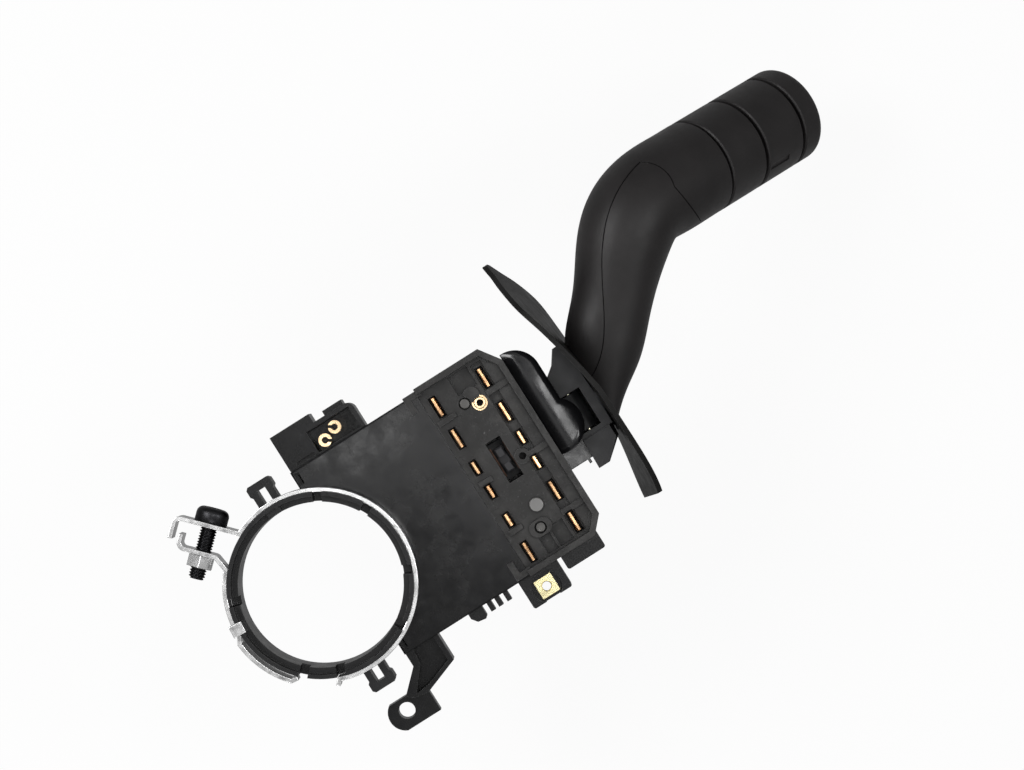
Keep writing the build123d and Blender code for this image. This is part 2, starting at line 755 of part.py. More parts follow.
with BuildPart() as terminal_block:
    with BuildSketch(level(cover_back)):
        add(body_outline(top=block_top, left=block_left))
    extrude(amount=block_floor - cover_back)
    with BuildSketch(level(board_top)):
        add(body_outline(wall + seat_gap, left=block_left - 1.0))
    extrude(amount=cover_back - board_top)
    # raised frame on three sides
    with BuildSketch(level(block_floor)):
        add(body_outline(top=block_top, left=block_left))
        with BuildLine():
            Polyline((block_left - 1, body_bottom + frame_t),
                     (body_right - corner_cut_x - frame_t * 0.4, body_bottom + frame_t),
                     (body_right - frame_t, body_bottom + corner_cut_bottom + frame_t * 0.4),
                     (body_right - frame_t, body_top - corner_cut_top - frame_t * 0.4),
                     (body_right - corner_cut_x - frame_t * 0.4, block_top - frame_t),
                     (block_left - 1, block_top - frame_t), close=True)
        make_face(mode=Mode.SUBTRACT)
    extrude(amount=frame_rise)
    # hooks that reach over the cover
    with BuildSketch(level(body_front + seat_gap)):
        for y_edge, inward in ((block_top - 0.8, -1), (body_bottom + 0.8, 1)):
            rectangle(block_left - hook_reach, block_left + 1.4, y_edge, y_edge + inward * hook_w)
            rectangle(block_left - hook_reach, block_left - hook_reach + hook_w, y_edge,
                      y_edge + inward * hook_leg)
    extrude(amount=frame_rise)
    # channel of the right-hand blades and two sunk panels
    with BuildSketch(level(block_floor - channel_depth)):
        rectangle(channel_left, channel_right, body_bottom + frame_t + 1.5, block_top - frame_t - 1.5)
        rectangle(slider_x - 1.9, channel_left - 1.0, block_top - frame_t - 8.2, block_top - frame_t - 0.8)
        rectangle(slider_x + 0.5, channel_left - 1.0, body_bottom + frame_t + 0.8,
                  body_bottom + frame_t + 9.0)
        rectangle(slider_x - 4.7, slider_x - 0.3, body_bottom + frame_t + 0.8, body_bottom + frame_t + 7.0)
    extrude(amount=channel_depth, mode=Mode.SUBTRACT)
    # ribs across the channels
    with BuildSketch(level(block_floor - channel_depth)):
        for y in channel_rib_ys:
            rectangle(channel_left, body_right - frame_t, y - rib_w / 2, y + rib_w / 2)
        rectangle(left_column_x - 3.0, left_column_x + 4.2, 24.0, 25.8)
        rectangle(left_column_x - 2.4, left_column_x + 3.0, -1.6, 0.4)
        rectangle(left_column_x - 2.4, left_column_x + 3.0, -21.4, -19.4)
        with Locations(boss_ring_place):
            Circle(boss_ring_r)
    extrude(amount=channel_depth + rib_rise)
    with BuildSketch(level(block_floor - 1)):
        with Locations(lower_screw_place):
            SlotOverall(8.4, 6.0)
    extrude(amount=2.0)
    # slots of the blades, and the window over the slider
    with BuildSketch(level(board_top)):
        for x, ys, length in blade_rows:
            with Locations(*[(x, y) for y in ys]):
                Rectangle(blade_slot_w, length + blade_slot_spare)
        rectangle(window_left, window_right, window_low, window_high)
        with Locations(boss_ring_place):
            Circle(1.3)
    extrude(amount=frame_top - board_top, mode=Mode.SUBTRACT)
    # seats of the eyelet, the rivet and the two screws
    with BuildSketch(level(block_floor - eyelet_seat_depth)):
        with Locations(brass_place):
            Circle(brass_r)
        with Locations(upper_screw_place, lower_screw_place):
            Circle(block_screw_head_r + 0.3)
    extrude(amount=frame_rise + eyelet_seat_depth, mode=Mode.SUBTRACT)
    with BuildSketch(level(board_top)):
        with Locations(rivet_place, upper_screw_place, lower_screw_place):
            Circle(rivet_shank_r)
        with Locations(brass_place):
            Circle(brass_bore_r)
    extrude(amount=frame_rise + block_floor - board_top, mode=Mode.SUBTRACT)
    # boss that holds the flange of the eyelet down
    with BuildSketch(level(block_floor - eyelet_seat_depth + eyelet_flange_t + seat_gap)):
        with Locations((brass_place[0] - 1.0, brass_place[1] + 4.0)):
            Circle(boss_ring_r)
        with Locations(brass_place):
            Circle(brass_bore_r + 0.9 + seat_gap, mode=Mode.SUBTRACT)
        with Locations(upper_screw_place):
            Circle(block_screw_head_r + 0.3, mode=Mode.SUBTRACT)
    extrude(amount=eyelet_seat_depth)
save(terminal_block, "terminal_block")

with BuildPart() as brass_eyelet:
    with BuildSketch(level(block_floor - eyelet_seat_depth)):
        with Locations(brass_place):
            Circle(brass_r)
            Circle(brass_bore_r, mode=Mode.SUBTRACT)
    extrude(amount=eyelet_flange_t)
    with BuildSketch(level(block_floor - eyelet_seat_depth)):
        with Locations(brass_place):
            Circle(brass_bore_r + 0.9)
            Circle(brass_bore_r, mode=Mode.SUBTRACT)
    extrude(amount=eyelet_seat_depth + 0.5)
    fillet(brass_eyelet.faces().sort_by(Axis.Z)[-1].edges().sort_by(SortBy.LENGTH)[-1], 0.3)
save(brass_eyelet, "brass_eyelet")

with BuildPart() as block_rivet:
    with BuildSketch(level(board_top)):
        with Locations(rivet_place):
            Circle(rivet_shank_r)
    extrude(amount=block_floor - board_top)
    with BuildSketch(level(block_floor)):
        with Locations(rivet_place):
            Circle(rivet_head_r)
    extrude(amount=1.0)
    fillet(block_rivet.faces().sort_by(Axis.Z)[-1].edges(), 0.5)
save(block_rivet, "block_rivet")

with BuildPart() as block_screws:
    with BuildSketch(level(board_top)):
        with Locations(upper_screw_place, lower_screw_place):
            Circle(rivet_shank_r)
    extrude(amount=block_floor - eyelet_seat_depth - board_top)
    with BuildSketch(level(block_floor - eyelet_seat_depth)):
        with Locations(upper_screw_place, lower_screw_place):
            Circle(block_screw_head_r)
    extrude(amount=1.4)
    fillet(block_screws.faces().group_by(Axis.Z)[-1].edges(), 0.4)
save(block_screws, "block_screws")

# ================================================================ hood
with BuildPart() as lever_hood:
    with BuildSketch(level(body_back)):
        rectangle(body_right, hood_right, hood_bottom, hood_top)
    extrude(amount=hood_floor_top - body_back)
    with BuildSketch(level(body_back)):
        rectangle(body_right, hood_right, pivot_y - 3.5, hood_top)
    extrude(amount=hood_front - body_back)
    # round lobe of the roof over the turn axis
    with BuildSketch(level(hood_front - hood_roof_t)):
        with Locations(xy(pivot)):
            Circle(hood_lobe_r)
        rectangle(pivot_x - hood_lobe_r * 2, body_right, pivot_y - hood_lobe_r, pivot_y + hood_lobe_r,
                  mode=Mode.SUBTRACT)
    extrude(amount=hood_roof_t)
    dome_corner = lever_hood.edges().filter_by(Axis.Z).sort_by(Axis.Y)[-2:].sort_by(Axis.X)[-1]
    fillet(dome_corner, hood_corner_r)
    roof_edges = lever_hood.faces().sort_by(Axis.Z)[-1].edges()
    fillet(roof_edges.sort_by(Axis.X)[1:], hood_edge_r)
    with BuildSketch(level(hood_floor_top)):
        rectangle(body_right, hood_right + 1, hood_bottom - 1, hood_mouth_top)
    extrude(amount=hood_front - hood_roof_t - hood_floor_top, mode=Mode.SUBTRACT)
    with BuildSketch(level(body_back + wall)):
        with Locations(xy(pivot)):
            Circle(pin_r)
    extrude(amount=hood_front - 1.0 - body_back - wall, mode=Mode.SUBTRACT)
    # thin fin under the floor plate
    with BuildSketch(level(body_back)):
        rectangle(hood_right - 3.2, hood_right - 2.2, hood_bottom - 1.6, hood_bottom)
    extrude(amount=hood_floor_top - body_back)
save(lever_hood, "lever_hood")

with BuildPart() as pivot_pin:
    with BuildSketch(level(body_back + wall)):
        with Locations(xy(pivot)):
            Circle(pin_r)
    extrude(amount=hood_front - 1.0 - body_back - wall)
    chamfer(pivot_pin.edges(), 0.3)
save(pivot_pin, "pivot_pin")

# ================================================================ swivel carrier
hub_low = hood_floor_top + moving_gap
hub_high = hood_front - hood_roof_t - moving_gap
with BuildPart() as swivel_carrier:
    with BuildSketch(level(hub_low)):
        with Locations(xy(pivot)):
            Circle(hub_r)
    extrude(amount=hub_high - hub_low)
    # tongue that carries the cross axle
    with BuildSketch(Plane.XZ.offset(-(pivot_y + tongue_half_w))):
        rectangle(pivot_x, hinge_x, lever_z - tongue_r, lever_z + tongue_r)
        with Locations((hinge_x, lever_z)):
            Circle(tongue_r)
    extrude(amount=tongue_half_w * 2)
    # arm that reaches into the housing
    with BuildSketch(level(arm_low)):
        rectangle(pivot_x - arm_tip_radius, pivot_x, pivot_y - arm_half_w, pivot_y + arm_half_w)
    extrude(amount=arm_high - arm_low)
    with BuildSketch(level(arm_high)):
        with Locations((pivot_x - drive_radius, pivot_y)):
            Circle(drive_pin_r)
    extrude(amount=drive_pin_h)
    with BuildSketch(level(hub_low)):
        with Locations(xy(pivot)):
            Circle(pin_r + running_fit)
    extrude(amount=hub_high - hub_low, mode=Mode.SUBTRACT)
    with BuildSketch(Plane.XZ.offset(-(pivot_y + tongue_half_w))):
        with Locations((hinge_x, lever_z)):
            Circle(hinge_pin_r + running_fit)
    extrude(amount=tongue_half_w * 2, mode=Mode.SUBTRACT)
    with BuildSketch(Plane.YZ.offset(pivot_x - arm_tip_radius)):
        with Locations((pivot_y, plunger_z)):
            Circle(plunger_r + running_fit)
    extrude(amount=arm_tip_radius - plunger_bore_end, mode=Mode.SUBTRACT)
save(swivel_carrier, "swivel_carrier")

plunger_tip = gate_radius - 0.4
with BuildPart() as detent_plunger:
    with BuildSketch(Plane.YZ.offset(pivot_x - plunger_tip + plunger_nose_r * 1.5)):
        with Locations((pivot_y, plunger_z)):
            Circle(plunger_r)
    extrude(amount=plunger_tip - plunger_nose_r * 1.5 - plunger_back_r)
    with BuildSketch(Plane.YZ.offset(pivot_x - plunger_tip)):
        with Locations((pivot_y, plunger_z)):
            Circle(plunger_nose_r)
    extrude(amount=plunger_nose_r * 1.5)
    fillet(detent_plunger.faces().sort_by(Axis.X)[0].edges(), plunger_nose_r * 0.8)
save(detent_plunger, "detent_plunger")


def coil(origin, direction, radius, wire_r, length, turns):
    """Coil spring between two planes a given length apart."""
    height = length - wire_r * 2
    plane = Plane(origin=origin, z_dir=direction).offset(wire_r)
    path = plane * Helix(pitch=height / turns, height=height, radius=radius)
    start = Plane(origin=path @ 0, z_dir=path % 0)
    return sweep(start * Circle(wire_r), path=path, is_frenet=True)


detent_coil = coil((pivot_x - plunger_back_r, pivot_y, plunger_z), (1, 0, 0), plunger_r - 0.5, 0.3,
                   plunger_back_r - plunger_bore_end, 5)
detent_coil.label = "detent_spring"
export_step(detent_coil, "parts/detent_spring.step")

with BuildPart() as detent_gate:
    with BuildSketch(level(floor_top)):
        with Locations(xy(pivot)):
            Circle(gate_radius + gate_t)
            Circle(gate_radius, mode=Mode.SUBTRACT)
        rectangle(pivot_x - gate_radius - gate_t - 1, pivot_x - gate_radius * cos(radians(gate_span)),
                  pivot_y - gate_radius * sin(radians(gate_span)),
                  pivot_y + gate_radius * sin(radians(gate_span)), mode=Mode.INTERSECT)
    extrude(amount=gate_high - floor_top)
    with BuildSketch(level(plunger_z - plunger_r - 1)):
        for turn in (-turn_limit, 0, turn_limit):
            with Locations(Location((pivot_x, pivot_y, 0), (0, 0, 180 + turn))):
                with Locations((gate_radius, 0)):
                    Rectangle(gate_notch_depth * 2, gate_notch_half_w * 2)
    extrude(amount=gate_high - plunger_z + plunger_r + 2, mode=Mode.SUBTRACT)
save(detent_gate, "detent_gate")

# ================================================================ sliding switches
slider_slot_half = drive_pin_r + 0.3
with BuildPart() as turn_slider:
    with BuildSketch(level(slider_low)):
        with Locations((slider_x, pivot_y)):
            Rectangle(slider_half_w * 2, slider_half_l * 2)
    extrude(amount=slider_high - slider_low)
    fillet(turn_slider.edges().filter_by(Axis.Z), 0.8)
    # post that shows in the window of the terminal block
    with BuildSketch(level(slider_high)):
        with Locations((slider_x, pivot_y)):
            Rectangle(slider_post_w, slider_post_l)
    extrude(amount=slider_post_top - slider_high)
    top = turn_slider.faces().sort_by(Axis.Z)[-1]
    chamfer(top.edges(), 0.6)
    with BuildSketch(level(slider_post_top - 2.0)):
        with Locations((slider_x, pivot_y)):
            Rectangle(slider_post_w + 1, slider_post_l * 0.3)
    extrude(amount=2.0, mode=Mode.SUBTRACT)
    # slot that the drive pin works in
    with BuildSketch(level(slider_low)):
        with Locations((pivot_x - drive_radius, pivot_y)):
            Rectangle(drive_pin_r * 2 + 2.0, slider_slot_half * 2)
    extrude(amount=arm_high + drive_pin_h + moving_gap - slider_low, mode=Mode.SUBTRACT)
save(turn_slider, "turn_slider")

with BuildPart() as slider_bridges:
    with BuildSketch(level(slider_high)):
        for side in (-1, 1):
            with Locations((slider_x + side * (slider_half_w + slider_post_w / 2) / 2, pivot_y)):
                Rectangle(bridge_w, slider_half_l * 1.6)
    extrude(amount=bridge_t)
save(slider_bridges, "slider_bridges")

tail_lift = (hinge_x - tail_end_x) * sin(radians(flash_limit))
beam_left = beam_post_x - beam_post_r - 1.0
beam_right = beam_post_x + 4.0
yoke_left = tail_end_x - (tail_y - pivot_y) * sin(radians(turn_limit)) - moving_gap
yoke_top = tail_y + tail_half_w + (pivot_x - tail_end_x) * sin(radians(turn_limit)) + moving_gap
beam_low = lever_z - tail_half_h - moving_gap - 2.6
beam_high = lever_z + tail_half_h + moving_gap + 2.0
with BuildPart() as beam_slider:
    with BuildSketch(level(beam_low)):
        rectangle(beam_left, beam_right, tail_y - tail_half_w - 3.0, beam_post_y + beam_post_r + 2.0)
    extrude(amount=beam_high - beam_low)
    fillet(beam_slider.edges().filter_by(Axis.Z), 0.8)
    with BuildSketch(level(beam_low)):
        with Locations((beam_post_x, beam_post_y)):
            Circle(beam_post_r + running_fit)
    extrude(amount=beam_high - beam_low, mode=Mode.SUBTRACT)
    with BuildSketch(level(lever_z - tail_half_h - moving_gap)):
        rectangle(yoke_left, beam_right + 1, tail_y - tail_half_w - 4.0, yoke_top)
    extrude(amount=2 * (tail_half_h + moving_gap), mode=Mode.SUBTRACT)
save(beam_slider, "beam_slider")

with BuildPart() as beam_bridge:
    with BuildSketch(level(beam_high)):
        rectangle(beam_left + 0.8, beam_left + 0.8 + bridge_w, tail_y - tail_half_w - 2.0, yoke_top)
    extrude(amount=bridge_t)
save(beam_bridge, "beam_bridge")

# ================================================================ self-cancelling finger
with BuildPart() as cancel_finger:
    with BuildSketch(level(finger_low)):
        rectangle(finger_nose_r, finger_end_x, pivot_y - finger_half_w, pivot_y + finger_half_w)
        with Locations((finger_x, pivot_y)):
            Circle(finger_half_w * 1.7)
    extrude(amount=finger_high - finger_low)
    nose = cancel_finger.edges().filter_by(Axis.Z).group_by(Axis.X)[0]
    fillet(nose, finger_half_w * 0.7)
    with BuildSketch(level(finger_low)):
        with Locations((finger_x, pivot_y)):
            Circle(drive_pin_r + running_fit)
    extrude(amount=finger_high - finger_low, mode=Mode.SUBTRACT)
save(cancel_finger, "cancel_finger")

with BuildPart() as finger_pin:
    with BuildSketch(level(floor_top)):
        with Locations((finger_x, pivot_y)):
            Circle(drive_pin_r * 2)
    extrude(amount=finger_low - moving_gap - floor_top)
    with BuildSketch(level(floor_top)):
        with Locations((finger_x, pivot_y)):
            Circle(drive_pin_r)
    extrude(amount=finger_high + moving_gap / 2 - floor_top)
save(finger_pin, "finger_pin")

# ================================================================ shroud plate
with BuildLine(mode=Mode.PRIVATE) as plate_line:
    ThreePointArc((plate_bottom_x, plate_bottom), (plate_middle_x, 12.0), (plate_top_x, plate_top))


def plate_slab(left, right, half_depth):
    """Twisted slab along the plate's middle line, thick to the left and to the right of it."""
    arc = plate_line.line
    sections = []
    for share in (-0.04, 0.2, 0.4, 0.6, 0.8, 1.04):
        point = arc @ share
        along = (point.Y - plate_bottom) / (plate_top - plate_bottom)
        twist = radians(plate_twist_bottom + (plate_twist_top - plate_twist_bottom) * along)
        plane = Plane(origin=(point.X, point.Y, lever_z), x_dir=(cos(twist), 0, sin(twist)),
                      z_dir=(0, 1, 0))
        with BuildSketch(plane) as section:
            rectangle(-left, right, -half_depth, half_depth)
        sections.append(section.sketch)
    return loft(sections, mode=Mode.PRIVATE)


tenon_w = foot_w - 2 * lever_wall - 3.2
tenon_d = foot_d - 2 * lever_wall - 2.6
tenon_plane = Plane(origin=foot, x_dir=(-lever_dir.Y, lever_dir.X, 0), z_dir=lever_dir)
with BuildPart() as shroud_plate:
    with BuildSketch(Plane.YZ.offset(plate_top_x - clear_of_all)):
        with BuildLine():
            low = (plate_bottom, lever_z - plate_foot_half_w)
            low_front = (plate_bottom, lever_z + plate_foot_half_w)
            high = (plate_top - 1.5, lever_z - plate_head_half_w)
            high_front = (plate_top - 1.5, lever_z + plate_head_half_w)
            Line(low, low_front)
            ThreePointArc(low_front, (plate_widest_y, lever_z + plate_half_w), high_front)
            ThreePointArc(high_front, (plate_top, lever_z), high)
            ThreePointArc(high, (plate_widest_y, lever_z - plate_half_w), low)
        make_face()
    extrude(amount=clear_of_all * 2)
    add(plate_slab(plate_t / 2, plate_t / 2, clear_of_all), mode=Mode.INTERSECT)
    with BuildSketch(tenon_plane.offset(-6)):
        Ellipse(tenon_w / 2 + seat_gap, tenon_d / 2 + seat_gap)
    extrude(amount=clear_of_all, mode=Mode.SUBTRACT)
save(shroud_plate, "shroud_plate")

# ================================================================ lever
bracket_right = plate_middle_x - 2.6
ear_low_top = pivot_y - tongue_half_w - moving_gap
ear_high_low = pivot_y + tongue_half_w + moving_gap
with BuildPart() as lever_bracket:
    with BuildSketch(level(lever_z - foot_d / 2)):
        with BuildLine():
            Polyline((bracket_left, ear_high_low), (bracket_left, bracket_top - 7.7),
                     (hood_right, bracket_top - 7.7),
                     (hood_right + 3.6, bracket_top - 4.9), (hood_right + 7.0, bracket_top),
                     (bracket_right - 0.6, bracket_top), (bracket_right, ear_low_top - 5.6),
                     (hood_right + 0.9, ear_low_top - 5.6), (hood_right + 0.9, ear_low_top),
                     (hinge_x + tongue_r + moving_gap, ear_low_top),
                     (hinge_x + tongue_r + moving_gap, ear_high_low), close=True)
        make_face()
    extrude(amount=foot_d)
    # bent arm under the neck
    with BuildSketch(level(lever_z + foot_d / 2 - 4)):
        with BuildLine():
            Polyline((hood_right + 1.0, ear_low_top - 5.0), (hood_right + 0.7, ear_low_top - 13.2),
                     (hood_right + 2.9, ear_low_top - 13.2), (bracket_right, ear_low_top - 6.8),
                     (bracket_right, ear_low_top - 2.0), (hood_right + 1.0, ear_low_top - 2.0),
                     close=True)
        make_face()
    extrude(amount=5)
    # neck up to the plate, then the tenon through it into the lever
    with BuildSketch(tenon_plane.offset(-neck_back)):
        Ellipse(foot_w / 2 - 1, foot_d / 2)
    extrude(amount=neck_back * 2.5)
    add(plate_slab(plate_t / 2 + seat_gap, clear_of_all, clear_of_all), mode=Mode.SUBTRACT)
    with BuildSketch(tenon_plane.offset(-4)):
        Ellipse(tenon_w / 2, tenon_d / 2)
    extrude(amount=tenon_reach + 4)
    # tail that works the beam slider
    with BuildSketch(Plane.YZ.offset(tail_end_x)):
        with Locations((tail_y, lever_z)):
            Rectangle(tail_half_w * 2, tail_half_h * 2)
    extrude(amount=bracket_left + 1 - tail_end_x)
    with BuildSketch(Plane.XZ.offset(-(bracket_top - 6.6))):
        with Locations((hinge_x, lever_z)):
            Circle(hinge_pin_r)
    extrude(amount=60, mode=Mode.SUBTRACT)
    # the slot for the tongue stays clear of the tenon
    with BuildSketch(level(lever_z - foot_d / 2 - 1)):
        rectangle(bracket_left - 2, hinge_x + tongue_r + moving_gap, ear_low_top, ear_high_low)
    extrude(amount=foot_d + 2, mode=Mode.SUBTRACT)
save(lever_bracket, "lever_bracket")

pin_low = ear_low_top - 4.6
with BuildPart() as hinge_pin:
    with BuildSketch(Plane.XZ.offset(-(bracket_top - 6.6))):
        with Locations((hinge_x, lever_z)):
            Circle(hinge_pin_r)
    extrude(amount=bracket_top - 6.6 - pin_low)
    chamfer(hinge_pin.edges(), 0.25)
save(hinge_pin, "hinge_pin")

with BuildLine(mode=Mode.PRIVATE) as lever_line:
    FilletPolyline(foot, knee, knee + tip_dir * tip_reach, radius=knee_r)
lever_path = lever_line.wire()
corner_turn = acos(lever_dir.dot(tip_dir))
straight_run = (knee - foot).length - knee_r * tan(corner_turn / 2)
bend_run = knee_r * corner_turn
body_run = straight_run + bend_run + tip_start - knee_r * tan(corner_turn / 2)

# width and depth of the handle along its run, as shares of the straight run
lever_sections = (
    (-0.12, foot_w - 0.4, foot_d - 1.0),
    (0.30, foot_w + 3.8, foot_d + 3.2),
    (0.62, foot_w + 6.6, foot_d + 6.6),
    (0.90, foot_w + 9.4, foot_d + 11.0),
    (1.16, foot_w + 12.2, foot_d + 14.6),
    (1.42, tip_r * 2 - 0.4, tip_r * 2 - 1.6),
)


def lever_section(share):
    """Plane square to the handle's line at a share of its straight run."""
    run = straight_run * share
    if run < 0:
        point, along = foot + lever_dir * run, lever_dir
    else:
        point = lever_path @ (run / lever_path.length)
        along = lever_path % (run / lever_path.length)
    return Plane(origin=point, x_dir=(-along.Y, along.X, 0), z_dir=along)


def lever_solid(inset, overrun):
    """Handle lofted through its sections, moved in by a wall and run past its end."""
    with BuildPart() as handle:
        for share, width, depth in lever_sections:
            with BuildSketch(lever_section(share)):
                Ellipse(width / 2 - inset, depth / 2 - inset)
        for run in (tip_start - 6.0, tip_start + overrun):
            with BuildSketch(tip_plane.offset(run)):
                Circle(tip_r - inset)
        loft()
    return handle.part


with BuildSketch(Plane.XY) as inlay_region:
    with BuildLine():
        Spline(seam_points[0], *seam_points[1:-1], seam_points[-1])
        ThreePointArc(seam_points[-1], seam_nose, seam_end)
        Polyline(seam_end, (seam_end[0] + 4, seam_end[1] - 25), (foot.X - 5, foot.Y - 22), seam_points[0])
    make_face()

with BuildPart() as lever_shell:
    add(lever_solid(0, 0))
    add(plate_slab(clear_of_all, plate_t / 2 + seat_gap, clear_of_all), mode=Mode.SUBTRACT)
    add(lever_solid(lever_wall, 1), mode=Mode.SUBTRACT)
    with BuildSketch(tenon_plane):
        Ellipse(tenon_w / 2 + seat_gap, tenon_d / 2 + seat_gap)
    extrude(amount=tenon_reach + 1, mode=Mode.SUBTRACT)

with BuildPart() as lever_body:
    add(lever_shell.part)
    with BuildSketch(level(lever_z - inlay_depth)):
        add(inlay_region.sketch)
    extrude(amount=inlay_depth * 2, mode=Mode.SUBTRACT)
save(lever_body, "lever_body")

with BuildPart() as lever_inlay:
    with BuildSketch(level(lever_z - inlay_depth)):
        add(Pos(-0.5 * seam_gap, -1.5 * seam_gap) * inlay_region.sketch)
    extrude(amount=inlay_depth * 2)
    add(lever_shell.part, mode=Mode.INTERSECT)
save(lever_inlay, "lever_inlay")

# wires inside the handle, from the tenon to the spindle's flange
flange_back = tip_start - 5.0
with BuildPart() as lever_harness:
    with BuildLine() as wire_line:
        FilletPolyline(foot + lever_dir * tenon_reach, knee, knee + tip_dir * flange_back, radius=knee_r)
    with BuildSketch(Plane(origin=wire_line.line @ 0, z_dir=wire_line.line % 0)):
        Circle(harness_r)
    sweep()
save(lever_harness, "lever_harness")

# ================================================================ tip of the lever
washer_start = tip_start + groove
washer_end = washer_start + washer_w
wiper_start = washer_end + groove
wiper_end = wiper_start + wiper_w
cap_start = wiper_end + groove
cap_end = cap_start + cap_w
spindle_end = cap_start + 2.0
bore_r = spindle_r + running_fit
hub_wall = 2.4


def tube(start, end, outer, inner):
    """Sleeve round the tip's axis between two distances from the knee."""
    with BuildPart() as piece:
        with BuildSketch(tip_plane.offset(start)):
            Circle(outer)
            if inner:
                Circle(inner, mode=Mode.SUBTRACT)
        extrude(amount=end - start)
    return piece.part


def ring_shell(start, end):
    """Outer skin of a tip section, with chamfered lips beside its grooves."""
    with BuildPart() as piece:
        with BuildSketch(tip_plane.offset(start)):
            Circle(tip_r)
            Circle(tip_r - shell_t, mode=Mode.SUBTRACT)
        extrude(amount=end - start)
        rims = piece.edges().filter_by(GeomType.CIRCLE).group_by(lambda edge: edge.radius)[-1]
        chamfer(rims, lip_chamfer)
    return piece.part


with BuildPart() as tip_core:
    add(tube(flange_back, flange_back + 3.0, tip_r - lever_wall - seat_gap, 0))
    add(tube(flange_back, washer_start - 0.6, tip_r - lever_wall - 1.5, 0))
    add(tube(flange_back, spindle_end, spindle_r, 0))
    add(tube(stem_bore_start, spindle_end, stem_r + running_fit, 0), mode=Mode.SUBTRACT)
save(tip_core, "tip_core")

washer_web = washer_start + 11.0
with BuildPart() as washer_sleeve:
    add(ring_shell(washer_start, washer_end))
    add(tube(washer_web, washer_web + hub_wall, tip_r - shell_t + 0.1, bore_r))
    add(tube(washer_web - 4.0, washer_web + hub_wall, bore_r + hub_wall, bore_r))
save(washer_sleeve, "washer_sleeve")

wiper_web = wiper_start + 9.5
with BuildPart() as wiper_ring:
    add(ring_shell(wiper_start, wiper_end))
    add(tube(wiper_web, wiper_web + hub_wall, tip_r - shell_t + 0.1, bore_r))
    add(tube(wiper_web - 2.0, wiper_web + hub_wall + 2.0, bore_r + hub_wall, bore_r))
    # index bar, sunk into the skin
    with BuildSketch(tip_plane.offset(wiper_start + 1.0)):
        with Locations(Location((0, 0, 0), (0, 0, index_angle))):
            with Locations((tip_r, 0)):
                Rectangle(1.0, 2.4)
    extrude(amount=wiper_w - 9.0, mode=Mode.SUBTRACT)
save(wiper_ring, "wiper_ring")

with BuildPart() as wiper_brushes:
    for angle in (90, 210, 330):
        with BuildSketch(tip_plane.offset(board_start + tip_board_t + 0.3)):
            with Locations(Location((0, 0, 0), (0, 0, angle))):
                with Locations((bore_r + hub_wall + 1.8, 0)):
                    Rectangle(2.0, 1.2)
        extrude(amount=wiper_web - board_start - tip_board_t - 0.3)
save(wiper_brushes, "wiper_brushes")

with BuildPart() as tip_board:
    add(tube(board_start, board_start + tip_board_t, tip_r - shell_t - 1.2, spindle_r))
save(tip_board, "tip_board")

with BuildPart() as wiper_clip:
    clip_start = wiper_web + hub_wall + 2.0 + 0.3
    add(tube(clip_start, clip_start + 0.9, spindle_r + 1.8, spindle_r))
    with BuildSketch(tip_plane.offset(clip_start)):
        with Locations((spindle_r + 1, 0)):
            Rectangle(4, 5)
    extrude(amount=0.9, mode=Mode.SUBTRACT)
save(wiper_clip, "wiper_clip")

with BuildPart() as end_cap:
    with BuildSketch(tip_plane.offset(cap_start)):
        Circle(tip_r)
    extrude(amount=cap_w)
    crown = end_cap.faces().sort_by(Axis((0, 0, 0), tip_dir))[-1]
    fillet(crown.edges(), cap_round)
    root = end_cap.faces().sort_by(Axis((0, 0, 0), tip_dir))[0]
    chamfer(root.edges(), lip_chamfer)
    add(tube(cap_start, cap_end - shell_t, tip_r - shell_t - 0.6, 0), mode=Mode.SUBTRACT)
    add(tube(stem_bore_start + cap_travel + 1.0, cap_end - shell_t + 0.1, stem_r, 0))
save(end_cap, "end_cap")

with BuildPart() as horn_contact:
    add(tube(stem_bore_start, stem_bore_start + 0.5, stem_r - 0.4, 0))
save(horn_contact, "horn_contact")

for name, start, end, radius, wire in (
    ("washer_spring", washer_start - 0.6, washer_web - 4.0, spindle_r + 1.3, 0.5),
    ("horn_spring", spindle_end, cap_end - shell_t, stem_r + 1.0, 0.4),
):
    spring = coil(tip_plane.offset(start).origin, tip_dir, radius, wire, end - start, spring_turns)
    spring.label = name
    export_step(spring, f"parts/{name}.step")
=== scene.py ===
"""Looks of the stalk switch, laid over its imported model."""

import math
import bmesh
import bpy
from mathutils import Matrix, Vector


